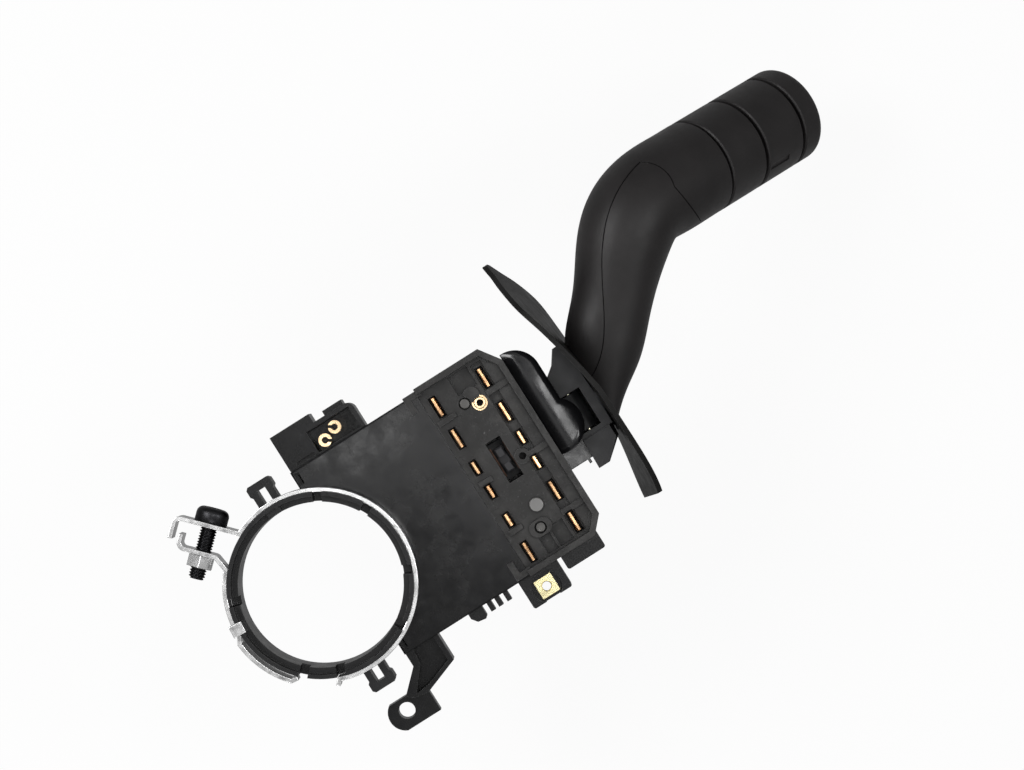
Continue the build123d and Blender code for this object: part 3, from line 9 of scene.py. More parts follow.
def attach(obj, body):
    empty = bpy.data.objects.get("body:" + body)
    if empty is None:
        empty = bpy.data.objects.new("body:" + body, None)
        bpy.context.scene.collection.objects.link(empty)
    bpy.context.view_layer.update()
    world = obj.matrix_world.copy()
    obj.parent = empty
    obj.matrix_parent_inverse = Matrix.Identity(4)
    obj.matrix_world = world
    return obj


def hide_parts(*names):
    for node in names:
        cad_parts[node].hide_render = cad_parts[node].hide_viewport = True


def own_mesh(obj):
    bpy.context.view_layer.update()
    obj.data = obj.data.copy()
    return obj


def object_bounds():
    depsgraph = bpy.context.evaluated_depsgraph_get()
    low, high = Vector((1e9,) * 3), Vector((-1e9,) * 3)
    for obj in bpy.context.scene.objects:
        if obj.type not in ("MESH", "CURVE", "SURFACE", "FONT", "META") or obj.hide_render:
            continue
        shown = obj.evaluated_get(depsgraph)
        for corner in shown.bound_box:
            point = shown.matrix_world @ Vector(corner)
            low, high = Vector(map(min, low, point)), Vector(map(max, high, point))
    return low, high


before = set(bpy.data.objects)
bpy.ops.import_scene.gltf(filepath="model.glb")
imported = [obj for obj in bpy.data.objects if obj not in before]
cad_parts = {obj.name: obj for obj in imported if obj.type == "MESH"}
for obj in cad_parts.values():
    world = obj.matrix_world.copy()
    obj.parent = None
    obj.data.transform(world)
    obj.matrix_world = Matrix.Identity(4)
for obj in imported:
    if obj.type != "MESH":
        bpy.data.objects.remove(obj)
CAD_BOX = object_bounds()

scene = bpy.context.scene
scene.view_settings.view_transform = "Standard"

MM = 0.001
BLACK = (0.0, 0.0, 0.0)

# noise cells per metre
SHADE_SCALE = 60
PATCH_SCALE = 180
CLOUD_SCALE = 70
SPECK_SCALE = 900
FIELD_SCALE = 40
STAIN_SCALE = 130

FILM_COLOUR = (0.036, 0.035, 0.034)
DUST_COLOUR = (0.3, 0.3, 0.3)
CAVITY_SHADE_REACH = 0.0025  # reach of the painted shade in recesses, in metres


# ------------------------------------------------------------------ node helpers
def new_material(name):
    """Material with an empty node tree and its output node."""
    material = bpy.data.materials.new(name)
    material.use_nodes = True
    material.node_tree.nodes.clear()
    output = material.node_tree.nodes.new("ShaderNodeOutputMaterial")
    return material, material.node_tree, output


def node(tree, kind, inputs=None, **settings):
    """Node of a kind, with its settings and its unlinked input values."""
    made = tree.nodes.new(kind)
    for key, value in settings.items():
        setattr(made, key, value)
    for key, value in (inputs or {}).items():
        made.inputs[key].default_value = value
    return made


def noise(tree, coords, scale, detail=4.0, roughness=0.55):
    """Noise over a set of coordinates."""
    made = node(tree, "ShaderNodeTexNoise", {"Scale": scale, "Detail": detail, "Roughness": roughness})
    tree.links.new(coords, made.inputs["Vector"])
    return made.outputs["Fac"]


def ramp(tree, source, stops):
    """Colour ramp from (position, grey or colour) stops."""
    made = node(tree, "ShaderNodeValToRGB")
    elements = made.color_ramp.elements
    while len(elements) > len(stops):
        elements.remove(elements[-1])
    while len(elements) < len(stops):
        elements.new(0.5)
    for element, (position, value) in zip(elements, stops):
        element.position = position
        element.color = (value, value, value, 1) if isinstance(value, float) else (*value, 1)
    tree.links.new(source, made.inputs["Fac"])
    return made.outputs["Color"]


def mix(tree, factor, first, second, blend="MIX"):
    """Mix of two colours, each a socket or a plain colour."""
    made = node(tree, "ShaderNodeMix", data_type="RGBA", blend_type=blend)
    for index, value in ((0, factor), (6, first), (7, second)):
        if isinstance(value, bpy.types.NodeSocket):
            tree.links.new(value, made.inputs[index])
        elif isinstance(value, tuple):
            made.inputs[index].default_value = (*value, 1)
        else:
            made.inputs[index].default_value = value
    return made.outputs[2]


def layer(tree, base, colour, share, mask):
    """Colour laid over a base, by a share, where a mask is white."""
    return mix(tree, mix(tree, share, BLACK, mask), base, colour)


def bump(tree, height, distance, normal):
    """Bump from a height, on top of another normal."""
    made = node(tree, "ShaderNodeBump", {"Strength": 1.0, "Distance": distance})
    tree.links.new(height, made.inputs["Height"])
    tree.links.new(normal, made.inputs["Normal"])
    return made.outputs["Normal"]


def shader(tree, output, **inputs):
    """Principled shader, with each input a socket or a plain value."""
    made = tree.nodes.new("ShaderNodeBsdfPrincipled")
    for key, value in inputs.items():
        socket = made.inputs[key.replace("_", " ")]
        if isinstance(value, bpy.types.NodeSocket):
            tree.links.new(value, socket)
        elif isinstance(value, tuple):
            socket.default_value = (*value, 1)
        else:
            socket.default_value = value
    tree.links.new(made.outputs[0], output.inputs["Surface"])


def edge_mask(tree, radius):
    """White along sharp edges, from how far the rounded normal leans off the plain one."""
    leaning = node(tree, "ShaderNodeBevel", {"Radius": radius}, samples=6).outputs["Normal"]
    plain = node(tree, "ShaderNodeNewGeometry").outputs["Normal"]
    match = node(tree, "ShaderNodeVectorMath", operation="DOT_PRODUCT")
    tree.links.new(leaning, match.inputs[0])
    tree.links.new(plain, match.inputs[1])
    return ramp(tree, match.outputs["Value"], ((0.80, 1.0), (0.985, 0.0)))


def plastic(name, colour, rough, grain=0.00035, grain_depth=0.00002, edge=0.0002,
            scuff_and_glint=0.0, dust=0.0, sheen=0.0, sway=0.08, gloss=0.25, film=0.0, cavity_shade=0.0):
    """Moulded plastic: grain, uneven gloss, edges lightened partly by rubbing wear and partly as a
    painted highlight, a dull film, dust and painted shade that darkens recesses.
    """
    material, tree, output = new_material(name)
    coords = node(tree, "ShaderNodeTexCoord").outputs["Object"]
    shade = noise(tree, coords, SHADE_SCALE, 3.0)
    base = mix(tree, ramp(tree, shade, ((0.3, 0.0), (0.7, 1.0))),
               tuple(c * 0.82 for c in colour), tuple(c * 1.2 for c in colour))
    rounded = node(tree, "ShaderNodeBevel", {"Radius": edge}, samples=4).outputs["Normal"]
    patchy = noise(tree, coords, PATCH_SCALE, 6.0, 0.7)
    # edges lightened: partly rubbing wear, partly a painted highlight along the sharp edges
    if scuff_and_glint:
        wear_and_glint = edge_mask(tree, edge * 1.3)
        scratch = ramp(tree, patchy, ((0.40, 0.15), (0.60, 1.0)))
        wear_and_glint = mix(tree, 1.0, wear_and_glint, scratch, "MULTIPLY")
        base = layer(tree, base, tuple(c * 0.6 + 0.12 for c in colour), scuff_and_glint, wear_and_glint)
    if film:
        clouds = ramp(tree, noise(tree, coords, CLOUD_SCALE, 9.0, 0.72), ((0.47, 0.0), (0.62, 1.0)))
        base = layer(tree, base, FILM_COLOUR, film, clouds)
    if dust:
        specks = ramp(tree, noise(tree, coords, SPECK_SCALE, 8.0, 0.75), ((0.60, 0.0), (0.70, 1.0)))
        fields = ramp(tree, noise(tree, coords, FIELD_SCALE, 4.0), ((0.45, 0.0), (0.7, 1.0)))
        dusty = mix(tree, 1.0, specks, fields, "MULTIPLY")
        base = layer(tree, base, DUST_COLOUR, dust, dusty)
    # painted shade: ambient occlusion darkens the colour in recesses and between parts
    if cavity_shade:
        cavity_ao = node(tree, "ShaderNodeAmbientOcclusion", {"Distance": CAVITY_SHADE_REACH}, samples=6)
        unshaded_share = ramp(tree, cavity_ao.outputs["AO"], ((0.45, 1.0 - cavity_shade), (0.92, 1.0)))
        base = mix(tree, 1.0, base, unshaded_share, "MULTIPLY")
    roughness = ramp(tree, patchy, ((0.3, max(0.02, rough - sway)), (0.7, min(1.0, rough + sway))))
    normal = bump(tree, noise(tree, coords, 1 / grain, 2.0), grain_depth, rounded)
    shader(tree, output, Base_Color=base, Roughness=roughness, Normal=normal,
           Sheen_Weight=sheen, Sheen_Roughness=0.4, Specular_IOR_Level=gloss)
    return material


def metal(name, colour, rough, tint=None, scale=500, edge=0.0001, tarnish=0.25, depth=0.000008):
    """Metal with a fine finish, uneven gloss and a little tarnish."""
    material, tree, output = new_material(name)
    coords = node(tree, "ShaderNodeTexCoord").outputs["Object"]
    finish = noise(tree, coords, scale, 2.0, 0.5)
    stains = ramp(tree, noise(tree, coords, STAIN_SCALE, 5.0, 0.65), ((0.4, 0.0), (0.75, 1.0)))
    base = layer(tree, colour, tint or tuple(c * 0.55 for c in colour), tarnish, stains)
    roughness = ramp(tree, finish, ((0.3, max(0.04, rough - 0.1)), (0.7, rough + 0.12)))
    rounded = node(tree, "ShaderNodeBevel", {"Radius": edge}, samples=8).outputs["Normal"]
    normal = bump(tree, finish, depth, rounded)
    shader(tree, output, Base_Color=base, Metallic=1.0, Roughness=roughness, Normal=normal)
    return material


# ------------------------------------------------------------------ materials
MATERIALS = {
    "lever": plastic("lever_softtouch", (0.0150, 0.0136, 0.0138), 0.46,
                     grain=0.00028, grain_depth=0.000022, edge=0.0003, sheen=0.05),
    "sleeve": plastic("sleeve_moulding", (0.010, 0.010, 0.0105), 0.30,
                      grain=0.0006, grain_depth=0.00001, edge=0.0003, scuff_and_glint=0.5, dust=0.15),
    "housing": plastic("housing_moulding", (0.005, 0.005, 0.0054), 0.24,
                       grain=0.0007, grain_depth=0.00001, edge=0.0003, scuff_and_glint=0.7, dust=0.2, cavity_shade=0.5),
    "cover": plastic("cover_gloss", (0.004, 0.004, 0.0045), 0.14,
                     grain=0.006, grain_depth=0.000012, edge=0.0004, film=0.2, sway=0.06, gloss=0.3),
    "block": plastic("block_moulding", (0.016, 0.0155, 0.015), 0.30,
                     grain=0.0005, grain_depth=0.00003, edge=0.0003, scuff_and_glint=1.0, film=1.0, dust=0.8,
                     cavity_shade=0.85),
    "inner": plastic("inner_moulding", (0.03, 0.03, 0.032), 0.42, scuff_and_glint=0.3),
    "hood": plastic("hood_gloss", (0.008, 0.008, 0.009), 0.16,
                    grain=0.003, grain_depth=0.00002, edge=0.0005, scuff_and_glint=0.2, dust=0.1, gloss=0.5),
    "plate": plastic("plate_plastic", (0.010, 0.0098, 0.0095), 0.42,
                     grain=0.0006, grain_depth=0.00001, edge=0.0003, scuff_and_glint=0.3, dust=0.2, gloss=0.12),
    "bracket": plastic("bracket_moulding", (0.018, 0.018, 0.019), 0.36, scuff_and_glint=0.3, dust=0.1),
    "strap": metal("strap_zinc", (0.74, 0.74, 0.74), 0.20,
                   scale=260, edge=0.0004, tarnish=0.5, depth=0.000002),
    "zinc": metal("screw_zinc", (0.66, 0.62, 0.48), 0.25, tint=(0.5, 0.36, 0.2)),
    "nut": metal("nut_yellow_zinc", (0.80, 0.72, 0.42), 0.22,
                 tint=(0.5, 0.4, 0.2), scale=160, edge=0.0002, depth=0.000002),
    "black_steel": metal("bolt_black", (0.03, 0.03, 0.032), 0.35),
    "copper": metal("blade_copper", (0.80, 0.50, 0.27), 0.20,
                    tint=(0.10, 0.045, 0.02), scale=160, tarnish=1.0, depth=0.000003),
    "brass": metal("eyelet_brass", (0.83, 0.62, 0.38), 0.22,
                   tint=(0.4, 0.24, 0.12), scale=160, depth=0.000002),
    "rivet": metal("rivet_tin", (0.17, 0.168, 0.165), 0.5, scale=200, depth=0.000003),
    "spring": metal("spring_wire", (0.55, 0.55, 0.56), 0.25),
    "laminate": plastic("board_laminate", (0.20, 0.12, 0.05), 0.4),
    "sheath": plastic("wire_sheath", (0.02, 0.02, 0.02), 0.5),
    "seam": plastic("seam_shadow", (0.001, 0.001, 0.001), 0.7, gloss=0.05),
    "dull": metal("screw_dull", (0.09, 0.088, 0.085), 0.35),
    # painted shade: the slider's bridges are darkened for the shade in the slider's window, and partly
    # for grease
    "shaded_greasy_copper": metal("bridge_copper_shaded_greasy", (0.10, 0.06, 0.045), 0.4),
}
LOOKS = {
    "lever": ("lever_body", "lever_inlay", "washer_sleeve", "wiper_ring", "end_cap"),
    "sleeve": ("column_sleeve",),
    "housing": ("main_housing", "connector_shell"),
    "cover": ("top_cover",),
    "block": ("terminal_block",),
    "inner": ("contact_board", "turn_slider", "beam_slider", "swivel_carrier", "cancel_finger",
              "detent_gate", "tip_core", "detent_plunger"),
    "hood": ("lever_hood",),
    "plate": ("shroud_plate",),
    "bracket": ("lever_bracket",),
    "strap": ("clamp_band", "clamp_band_tail", "band_keeper", "clamp_nut"),
    "dull": ("block_screws",),
    "zinc": ("housing_screws", "pivot_pin", "hinge_pin", "finger_pin", "wiper_clip"),
    "nut": ("square_nut",),
    "black_steel": ("clamp_bolt",),
    "copper": ("long_blades", "short_blades", "beam_bridge", "wiper_brushes", "horn_contact"),
    "shaded_greasy_copper": ("slider_bridges",),
    "brass": ("brass_eyelet", "connector_contacts"),
    "rivet": ("block_rivet",),
    "spring": ("detent_spring", "washer_spring", "horn_spring"),
    "laminate": ("tip_board",),
    "sheath": ("lever_harness",),
}


def dress(obj, material):
    """Give an object one material in all its slots."""
    if not obj.material_slots:
        obj.data.materials.append(material)
    for slot in obj.material_slots:
        slot.material = material


for look, names in LOOKS.items():
    for name in names:
        dress(bpy.data.objects[name], MATERIALS[look])

# ------------------------------------------------------------------ detail pieces
RING_POINTS = 48


def polar(radius, angle):
    """Point at a radius and an angle in degrees round the column."""
    return Vector((radius * math.cos(math.radians(angle)), radius * math.sin(math.radians(angle)), 0))


def frame_at(origin, axis, across):
    """Matrix that puts local Z on an axis and local X near another direction, in metres."""
    z = Vector(axis).normalized()
    x = (Vector(across) - z * z.dot(Vector(across))).normalized()
    turn = Matrix((x, z.cross(x), z)).transposed()
    return Matrix.Translation(Vector(origin) * MM) @ turn.to_4x4()


def piece(name, rings, place, look, body, smooth=True):
    """Closed mesh object skinned over rings of points in millimetres, riding on a body."""
    mesh = bpy.data.meshes.new(name)
    count = len(rings[0])
    points = [place @ (Vector(p) * MM) for ring in rings for p in ring]
    faces = []
    for row in range(len(rings) - 1):
        for i in range(count):
            j = (i + 1) % count
            faces.append((row * count + i, row * count + j, (row + 1) * count + j, (row + 1) * count + i))
    faces.append(tuple(range(count))[::-1])
    faces.append(tuple(range((len(rings) - 1) * count, len(rings) * count)))
    mesh.from_pydata(points, [], faces)
    if smooth:
        mesh.polygons.foreach_set("use_smooth", [True] * len(mesh.polygons))
    mesh.update()
    made = bpy.data.objects.new(name, mesh)
    scene.collection.objects.link(made)
    made.data.materials.append(MATERIALS[look])
    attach(made, body)
    return made


def ring_of(radius, height):
    """Round ring; radius is a number or a function of the share of the turn."""
    points = []
    for i in range(RING_POINTS):
        share = i / RING_POINTS
        r = radius(share) if callable(radius) else radius
        angle = 2 * math.pi * share
        points.append((r * math.cos(angle), r * math.sin(angle), height))
    return points


# clamp bolt with its thread, cup head and hexagon socket; heights run from under the head to the tip
CLAMP_REACH = 42.9
CLAMP_ANGLE = 126.2
CLAMP_LEVEL = 18.0
EAR_ANGLE = 133.0
SEAT = -5.7  # underside of the head, along the bolt from the clamp point
BOLT_R = 2.95
BOLT_LENGTH = 20.0
BOLT_TIP_R = 0.5
THREAD_PITCH = 1.0
THREAD_DEPTH = 0.55
THREAD_FLANK = 2.6  # steepness of the flanks
THREAD_ROOT = 0.15  # flatness of the root
THREAD_RUN_OUT = 1.0
RUN_OUT_DEPTH = 0.5
RINGS_PER_MM = 8
HEAD_R = 5.8
HEAD_H = 5.4
HEAD_CROWN = 0.45  # share of the head's height that is rounded
HEAD_EASE = 0.15
CROWN_STEPS = 8
SOCKET_HALF_W = 2.5
SOCKET_DEPTH = 2.4
SOCKET_MOUTH_R = 3.2
SOCKET_FLOOR_R = 0.4
NEXT_RING = 0.02  # keeps two rings apart where the radius steps
bolt_axis = polar(1, EAR_ANGLE + 90)
clamp_point = polar(CLAMP_REACH, CLAMP_ANGLE)


def thread_radius(height):
    """Radius round a helical thread at a height, as a function of the share of the turn."""
    fade = min(1.0, max(0.0, (BOLT_LENGTH - height) / THREAD_RUN_OUT))

    def radius(share):
        """Radius at a share of the turn."""
        phase = (height / THREAD_PITCH - share) % 1.0
        dip = min(1.0, max(0.0, THREAD_FLANK * abs(phase - 0.5) - THREAD_ROOT))
        return BOLT_R - THREAD_DEPTH * (1 - dip) - RUN_OUT_DEPTH * (1 - fade)
    return radius


def socket_radius(share):
    """Hexagon of the socket."""
    return SOCKET_HALF_W / math.cos((share * 6 % 1.0 - 0.5) * math.pi / 3)


rows = [ring_of(SOCKET_FLOOR_R, SOCKET_DEPTH - HEAD_H), ring_of(socket_radius, SOCKET_DEPTH - HEAD_H),
        ring_of(socket_radius, NEXT_RING - HEAD_H), ring_of(SOCKET_MOUTH_R, -HEAD_H)]
crown = HEAD_H * HEAD_CROWN
for step in range(CROWN_STEPS + 1):
    turn = math.pi / 2 * step / CROWN_STEPS
    rows.append(ring_of(HEAD_R - crown * (1 - math.sin(turn)), -HEAD_H + crown * (1 - math.cos(turn))))
rows += [ring_of(HEAD_R, -HEAD_EASE), ring_of(HEAD_R - HEAD_EASE, 0.0), ring_of(BOLT_R, 0.0)]
for step in range(int(BOLT_LENGTH * RINGS_PER_MM) + 1):
    height = step / RINGS_PER_MM
    rows.append(ring_of(thread_radius(height), height if step else NEXT_RING))
rows.append(ring_of(BOLT_TIP_R, BOLT_LENGTH))
bolt = piece("clamp_bolt_detail", rows,
             frame_at(clamp_point + Vector((0, 0, CLAMP_LEVEL)) + bolt_axis * SEAT, bolt_axis, (0, 0, 1)),
             "black_steel", "housing")
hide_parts("clamp_bolt")

SHARP_ANGLE = 32  # edges sharper than this stay sharp on a reshaped piece, in degrees


def reshaped(source, name, move, xs=(), ys=()):
    """Copy of a CAD piece's surface, cut into strips and with its points moved by a function."""
    shape = bmesh.new()
    shape.from_mesh(bpy.data.objects[source].data)
    for axis, places in (((1, 0, 0), xs), ((0, 1, 0), ys)):
        for place in places:
            bmesh.ops.bisect_plane(shape, geom=shape.verts[:] + shape.edges[:] + shape.faces[:],
                                   plane_co=Vector(axis) * place * MM, plane_no=axis)
    for vertex in shape.verts:
        vertex.co = move(vertex.co / MM) * MM
    mesh = bpy.data.meshes.new(name)
    shape.to_mesh(mesh)
    shape.free()
    if "custom_normal" in mesh.attributes:
        mesh.attributes.remove(mesh.attributes["custom_normal"])
    mesh.polygons.foreach_set("use_smooth", [True] * len(mesh.polygons))
    mesh.set_sharp_from_angle(angle=math.radians(SHARP_ANGLE))
    made = bpy.data.objects.new(name, mesh)
    scene.collection.objects.link(made)
    return made


# hood with a domed roof
HOOD_MIDDLE_X = 101.0
HOOD_HALF_W = 7.0
ROOF_LOW = 5.05
ROOF_FALL_Y = 16.0  # the roof starts to fall towards its upper end here
ROOF_FALL_RUN = 18.0
FALL_ACROSS = 0.62
FALL_ALONG = 0.45
FALL_LIMIT = 0.85


def dome(point):
    """Lower the roof towards its long edges and its upper end."""
    if point.z < ROOF_LOW:
        return point
    across = min(1.0, abs(point.x - HOOD_MIDDLE_X) / HOOD_HALF_W)
    along = min(1.0, max(0.0, (point.y - ROOF_FALL_Y) / ROOF_FALL_RUN))
    drop = min(FALL_LIMIT, FALL_ACROSS * across ** 2 + FALL_ALONG * along ** 2)
    return Vector((point.x, point.y, ROOF_LOW + (point.z - ROOF_LOW) * (1 - drop)))


hood = reshaped("lever_hood", "hood_dome", dome, xs=[95.5 + 0.75 * i for i in range(18)],
                ys=[-6.0 + 2.0 * i for i in range(20)])
dress(hood, MATERIALS["hood"])
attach(hood, "housing")
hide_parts("lever_hood")

# shroud plate: the twist gathers at its lower end and the upper outline is fuller
LEVER_Z = -8.0
PLATE_LOW = -36.5
PLATE_HIGH = 64.0
TWIST_LOW = -9.0  # the solid's twist at its lower end, in degrees
TWIST_RISE = 20.0  # and its change up to the upper end
GATHER_Y = 6.0  # the twist gathers below this level
GATHER_RUN = GATHER_Y - PLATE_LOW
GATHER_SHARE = 0.423  # how far up the plate that level is
GATHER_POWER = 2.4
SHOULDER_Y, SHOULDER_RUN, SHOULDER_GROWTH = 44.0, 8.0, 0.22
UPPER_END_Y, UPPER_END_RUN, UPPER_END_SHRINK = 60.0, 4.0, 0.25


def hump(y, middle, run):
    """Smooth hump of height one round a level."""
    return math.exp(-((y - middle) / run) ** 2)


def warp(point):
    """Move the plate's surface to its gathered twist and fuller outline."""
    along = (point.y - PLATE_LOW) / (PLATE_HIGH - PLATE_LOW)
    old = math.radians(TWIST_LOW + TWIST_RISE * along)
    new = old
    if point.y < GATHER_Y:
        share = min(1.0, (GATHER_Y - point.y) / GATHER_RUN)
        eased = TWIST_LOW * share ** GATHER_POWER
        new = math.radians(eased + (TWIST_LOW + TWIST_RISE * GATHER_SHARE) * (1 - share))
    depth = point.z - LEVER_Z
    fuller = (1.0 + SHOULDER_GROWTH * hump(point.y, SHOULDER_Y, SHOULDER_RUN)
              - UPPER_END_SHRINK * hump(point.y, UPPER_END_Y, UPPER_END_RUN))
    shift = depth * (math.tan(old) - math.tan(new))
    slide = depth * (fuller - 1.0)
    return Vector((point.x + shift - slide * math.tan(new), point.y, point.z + slide))


plate = reshaped("shroud_plate", "plate_warped", warp, ys=[-34.0 + 3.0 * i for i in range(33)])
dress(plate, MATERIALS["plate"])
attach(plate, "lever")
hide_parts("shroud_plate")


# return springs of the tip, copied as they stand; the real ones shorten as their sections are pressed
def return_spring(source, name):
    """Copy of a coil with its own mesh, riding on the lever."""
    coil = reshaped(source, name, lambda point: point)
    dress(coil, MATERIALS["spring"])
    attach(coil, "lever")
    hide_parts(source)
    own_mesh(coil)


return_spring("washer_spring", "washer_coil")
return_spring("horn_spring", "horn_coil")

# neck of the lever: carried up to the plate, with its pocket closed at the back
PLATE_MIDDLE_X = 117.2
PLATE_HALF_T = 0.9
PLATE_GAP = 0.1
PLATE_BOW_Y = 2.0
PLATE_BOW = 420.0  # the face falls back by the square of the height over this
NECK_FACE_X = 113.4  # the neck's right-hand face starts here
NECK_TOP_Y = 27.0
NECK_HALF_D = 9.05
ARM_TOP_Y = -4.0  # the lower arm lies below this level, left of and in front of the next two
ARM_RIGHT_X = 106.5
ARM_BACK_Z = -4.0
ARM_SHIFT = 2.2


def plate_left(y):
    """Left face of the shroud plate at the level of the neck."""
    return PLATE_MIDDLE_X - PLATE_HALF_T - PLATE_GAP - (y - PLATE_BOW_Y) ** 2 / PLATE_BOW


def carry(point):
    """Move the neck's right-hand face to the plate and its lower arm towards the hood."""
    if point.x > NECK_FACE_X and point.y < NECK_TOP_Y and abs(point.z - LEVER_Z) < NECK_HALF_D:
        return Vector((max(point.x, plate_left(point.y)), point.y, point.z))
    if point.y < ARM_TOP_Y and point.x < ARM_RIGHT_X and point.z > ARM_BACK_Z:
        return Vector((point.x - ARM_SHIFT, point.y, point.z))
    return point


neck = reshaped("lever_bracket", "neck_carried", carry, ys=[-8.0 + 3.0 * i for i in range(12)])
dress(neck, MATERIALS["bracket"])
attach(neck, "lever")
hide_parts("lever_bracket")


WEB_X = (104.0, 113.5)
WEB_Y = (-5.8, 10.8)
WEB_Z = (-16.9, -15.7)
WEB_EASE = 0.3


def box_rings(x_range, y_range, z_range, ease):
    """Rings of a box with eased edges."""
    (x0, x1), (y0, y1), (z0, z1) = x_range, y_range, z_range
    rings = []
    for inset, z in ((ease, z0), (0, z0 + ease), (0, z1 - ease), (ease, z1)):
        rings.append([(x0 + inset, y0 + inset, z), (x1 - inset, y0 + inset, z),
                      (x1 - inset, y1 - inset, z), (x0 + inset, y1 - inset, z)])
    return rings


web = piece("neck_web", box_rings(WEB_X, WEB_Y, WEB_Z, WEB_EASE), Matrix.Identity(4),
            "bracket", "lever", smooth=False)


# seam of the handle's inlay: painted shadow, a dark tube along its outer edge standing in for the shade
# in the gap
SEAM_X = (118, 182)
SEAM_R = 0.16
SEAM_EDGE_ANGLE = 50
SKIN_LEAN = 0.25  # least part of a skin's normal that points up or down
KNEE_X = 161.6
KNEE_LEAD = 8.0  # the handle's bend starts this far before its knee
TIP_TILT = 35


def seam_line(source, name, thick):
    """Thin dark tube along the sharp outer edges of a shell's cut, a painted shadow of the gap."""
    shape = bmesh.new()
    shape.from_mesh(bpy.data.objects[source].data)
    bmesh.ops.remove_doubles(shape, verts=shape.verts, dist=0.000001)
    lines = []
    for edge in shape.edges:
        if len(edge.link_faces) != 2 or edge.calc_face_angle(0) < math.radians(SEAM_EDGE_ANGLE):
            continue
        middle = (edge.verts[0].co + edge.verts[1].co) / 2 / MM
        if middle.x < SEAM_X[0] or middle.x > SEAM_X[1]:
            continue
        skins = [f.normal for f in edge.link_faces if abs(f.normal.z) > SKIN_LEAN]
        if any(n.z * (middle.z - lever_level(middle)) > 0 for n in skins):
            lines.append((edge.verts[0].co.copy(), edge.verts[1].co.copy()))
    shape.free()
    curve = bpy.data.curves.new(name, "CURVE")
    curve.dimensions = "3D"
    curve.bevel_depth = thick * MM
    curve.bevel_resolution = 1
    for start, end in lines:
        spline = curve.splines.new("POLY")
        spline.points.add(1)
        spline.points[0].co = (*start, 1)
        spline.points[1].co = (*end, 1)
    made = bpy.data.objects.new(name, curve)
    scene.collection.objects.link(made)
    made.data.materials.append(MATERIALS["seam"])
    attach(made, "lever")


def lever_level(point):
    """Height of the handle's middle line under a point."""
    run = max(0.0, point.x - KNEE_X + KNEE_LEAD)
    return LEVER_Z - run * math.tan(math.radians(TIP_TILT))


seam_line("lever_inlay", "inlay_seam", SEAM_R)

# ------------------------------------------------------------------ camera
IMAGE_TURN = math.radians(32.3)  # the lever's side runs up to the right in the view
AIM = Vector((0.0931, 0.0231, 0.010))
DISTANCE = 1.25
VIEW_WIDTH = 0.3584  # 1024 pixels of 0.35 mm
SENSOR = 36
camera_data = bpy.data.cameras.new("camera")
camera_data.sensor_width = SENSOR
camera_data.lens = SENSOR * DISTANCE / VIEW_WIDTH
camera = bpy.data.objects.new("camera", camera_data)
camera.matrix_world = (Matrix.Translation(AIM + Vector((0, 0, DISTANCE)))
                       @ Matrix.Rotation(-IMAGE_TURN, 4, "Z"))
scene.collection.objects.link(camera)
scene.camera = camera

# ------------------------------------------------------------------ floor, world and lamps
FLOOR_HALF_W = 4
FLOOR_DROP = 0.02  # below the part
FLOOR_COLOUR = (0.86, 0.86, 0.86, 1)
WHITE = (1, 1, 1, 1)
FLOOR_GLOW = 0.92  # share of the floor's own light where the camera or a mirror sees it
MIRRORED_GLOW = 0.28  # its strength in a mirror
SEEN_GLOW = 0.72  # and what is added to that for the camera
SKY_LIGHT = 0.16
floor_mesh = bpy.data.meshes.new("floor")
shape = bmesh.new()
bmesh.ops.create_grid(shape, x_segments=1, y_segments=1, size=FLOOR_HALF_W)
shape.to_mesh(floor_mesh)
shape.free()
floor = bpy.data.objects.new("floor", floor_mesh)
floor.location = (0.1, 0, CAD_BOX[0][2] - FLOOR_DROP)
scene.collection.objects.link(floor)
material, tree, output = new_material("floor_white")
ray = node(tree, "ShaderNodeLightPath")
seen = node(tree, "ShaderNodeMath", operation="MAXIMUM")
tree.links.new(ray.outputs["Is Camera Ray"], seen.inputs[0])
tree.links.new(ray.outputs["Is Glossy Ray"], seen.inputs[1])
share = node(tree, "ShaderNodeMath", {1: FLOOR_GLOW}, operation="MULTIPLY")
tree.links.new(seen.outputs[0], share.inputs[0])
pale = node(tree, "ShaderNodeBsdfDiffuse", {"Color": FLOOR_COLOUR})
glow = node(tree, "ShaderNodeMath", {1: SEEN_GLOW, 2: MIRRORED_GLOW}, operation="MULTIPLY_ADD")
tree.links.new(ray.outputs["Is Camera Ray"], glow.inputs[0])
bright = node(tree, "ShaderNodeEmission", {"Color": WHITE})
tree.links.new(glow.outputs[0], bright.inputs["Strength"])
blend = node(tree, "ShaderNodeMixShader")
tree.links.new(share.outputs[0], blend.inputs[0])
tree.links.new(pale.outputs[0], blend.inputs[1])
tree.links.new(bright.outputs[0], blend.inputs[2])
tree.links.new(blend.outputs[0], output.inputs["Surface"])
dress(floor, material)

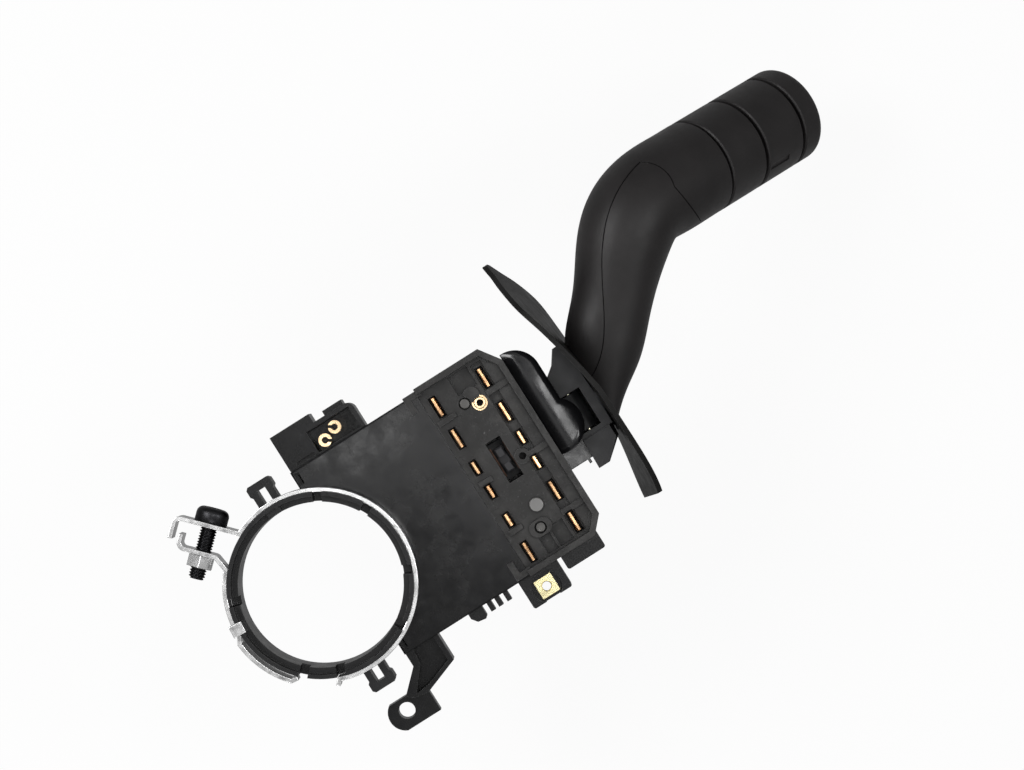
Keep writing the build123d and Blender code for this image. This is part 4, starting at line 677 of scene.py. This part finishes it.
world = bpy.data.worlds.new("studio")
scene.world = world
world.use_nodes = True
tree = world.node_tree
tree.nodes.clear()
output = node(tree, "ShaderNodeOutputWorld")
ray = node(tree, "ShaderNodeLightPath")
sky = node(tree, "ShaderNodeTexCoord").outputs["Generated"]
patches = ramp(tree, noise(tree, sky, 7.0, 3.0, 0.5), ((0.38, 0.12), (0.62, 1.15)))
dim = node(tree, "ShaderNodeBackground", {"Color": WHITE, "Strength": SKY_LIGHT})
height = node(tree, "ShaderNodeSeparateXYZ")
tree.links.new(sky, height.inputs[0])
overhead = ramp(tree, height.outputs["Z"], ((0.25, 0.35), (0.75, 1.0)))
mirrored = node(tree, "ShaderNodeBackground", {"Strength": 1.0})
tree.links.new(mix(tree, 1.0, patches, overhead, "MULTIPLY"), mirrored.inputs["Color"])
clear = node(tree, "ShaderNodeBackground", {"Color": WHITE, "Strength": 1.0})
unseen = node(tree, "ShaderNodeMixShader")
tree.links.new(ray.outputs["Is Glossy Ray"], unseen.inputs[0])
tree.links.new(dim.outputs[0], unseen.inputs[1])
tree.links.new(mirrored.outputs[0], unseen.inputs[2])
blend = node(tree, "ShaderNodeMixShader")
tree.links.new(ray.outputs["Is Camera Ray"], blend.inputs[0])
tree.links.new(unseen.outputs[0], blend.inputs[1])
tree.links.new(clear.outputs[0], blend.inputs[2])
tree.links.new(blend.outputs[0], output.inputs["Surface"])


def lamp(name, place, aim, size, power, length=None):
    """Soft lamp at a place, aimed at a point; square, unless it has a length."""
    data = bpy.data.lights.new(name, "AREA")
    data.size = size
    if length:
        data.shape = "RECTANGLE"
        data.size_y = length
    data.energy = power
    made = bpy.data.objects.new(name, data)
    made.location = place
    made.rotation_euler = (Vector(aim) - Vector(place)).to_track_quat("-Z", "Y").to_euler()
    scene.collection.objects.link(made)


CENTRE = (0.1, 0.02, 0)
lamp("lamp_left", (-0.35, 0.65, 0.8), CENTRE, 0.45, 6)
lamp("lamp_right", (0.75, -0.35, 0.85), CENTRE, 0.35, 3)
lamp("lamp_low", (-0.4, -0.5, 0.7), CENTRE, 0.3, 2)
lamp("lamp_block", (0.082, -0.030, 1.31), (0.08, -0.003, 0), 0.06, 0.10)
lamp("lamp_hood", (0.36, 0.035, 1.20), (0.102, 0.01, 0), 0.13, 1.6, length=0.5)
lamp("lamp_lever", (-0.45, 0.39, 1.05), (0.135, 0.032, 0), 0.30, 1.5)
lamp("lamp_cover", (-0.016, 0.066, 1.31), (0.043, 0.042, 0), 0.07, 0.09)
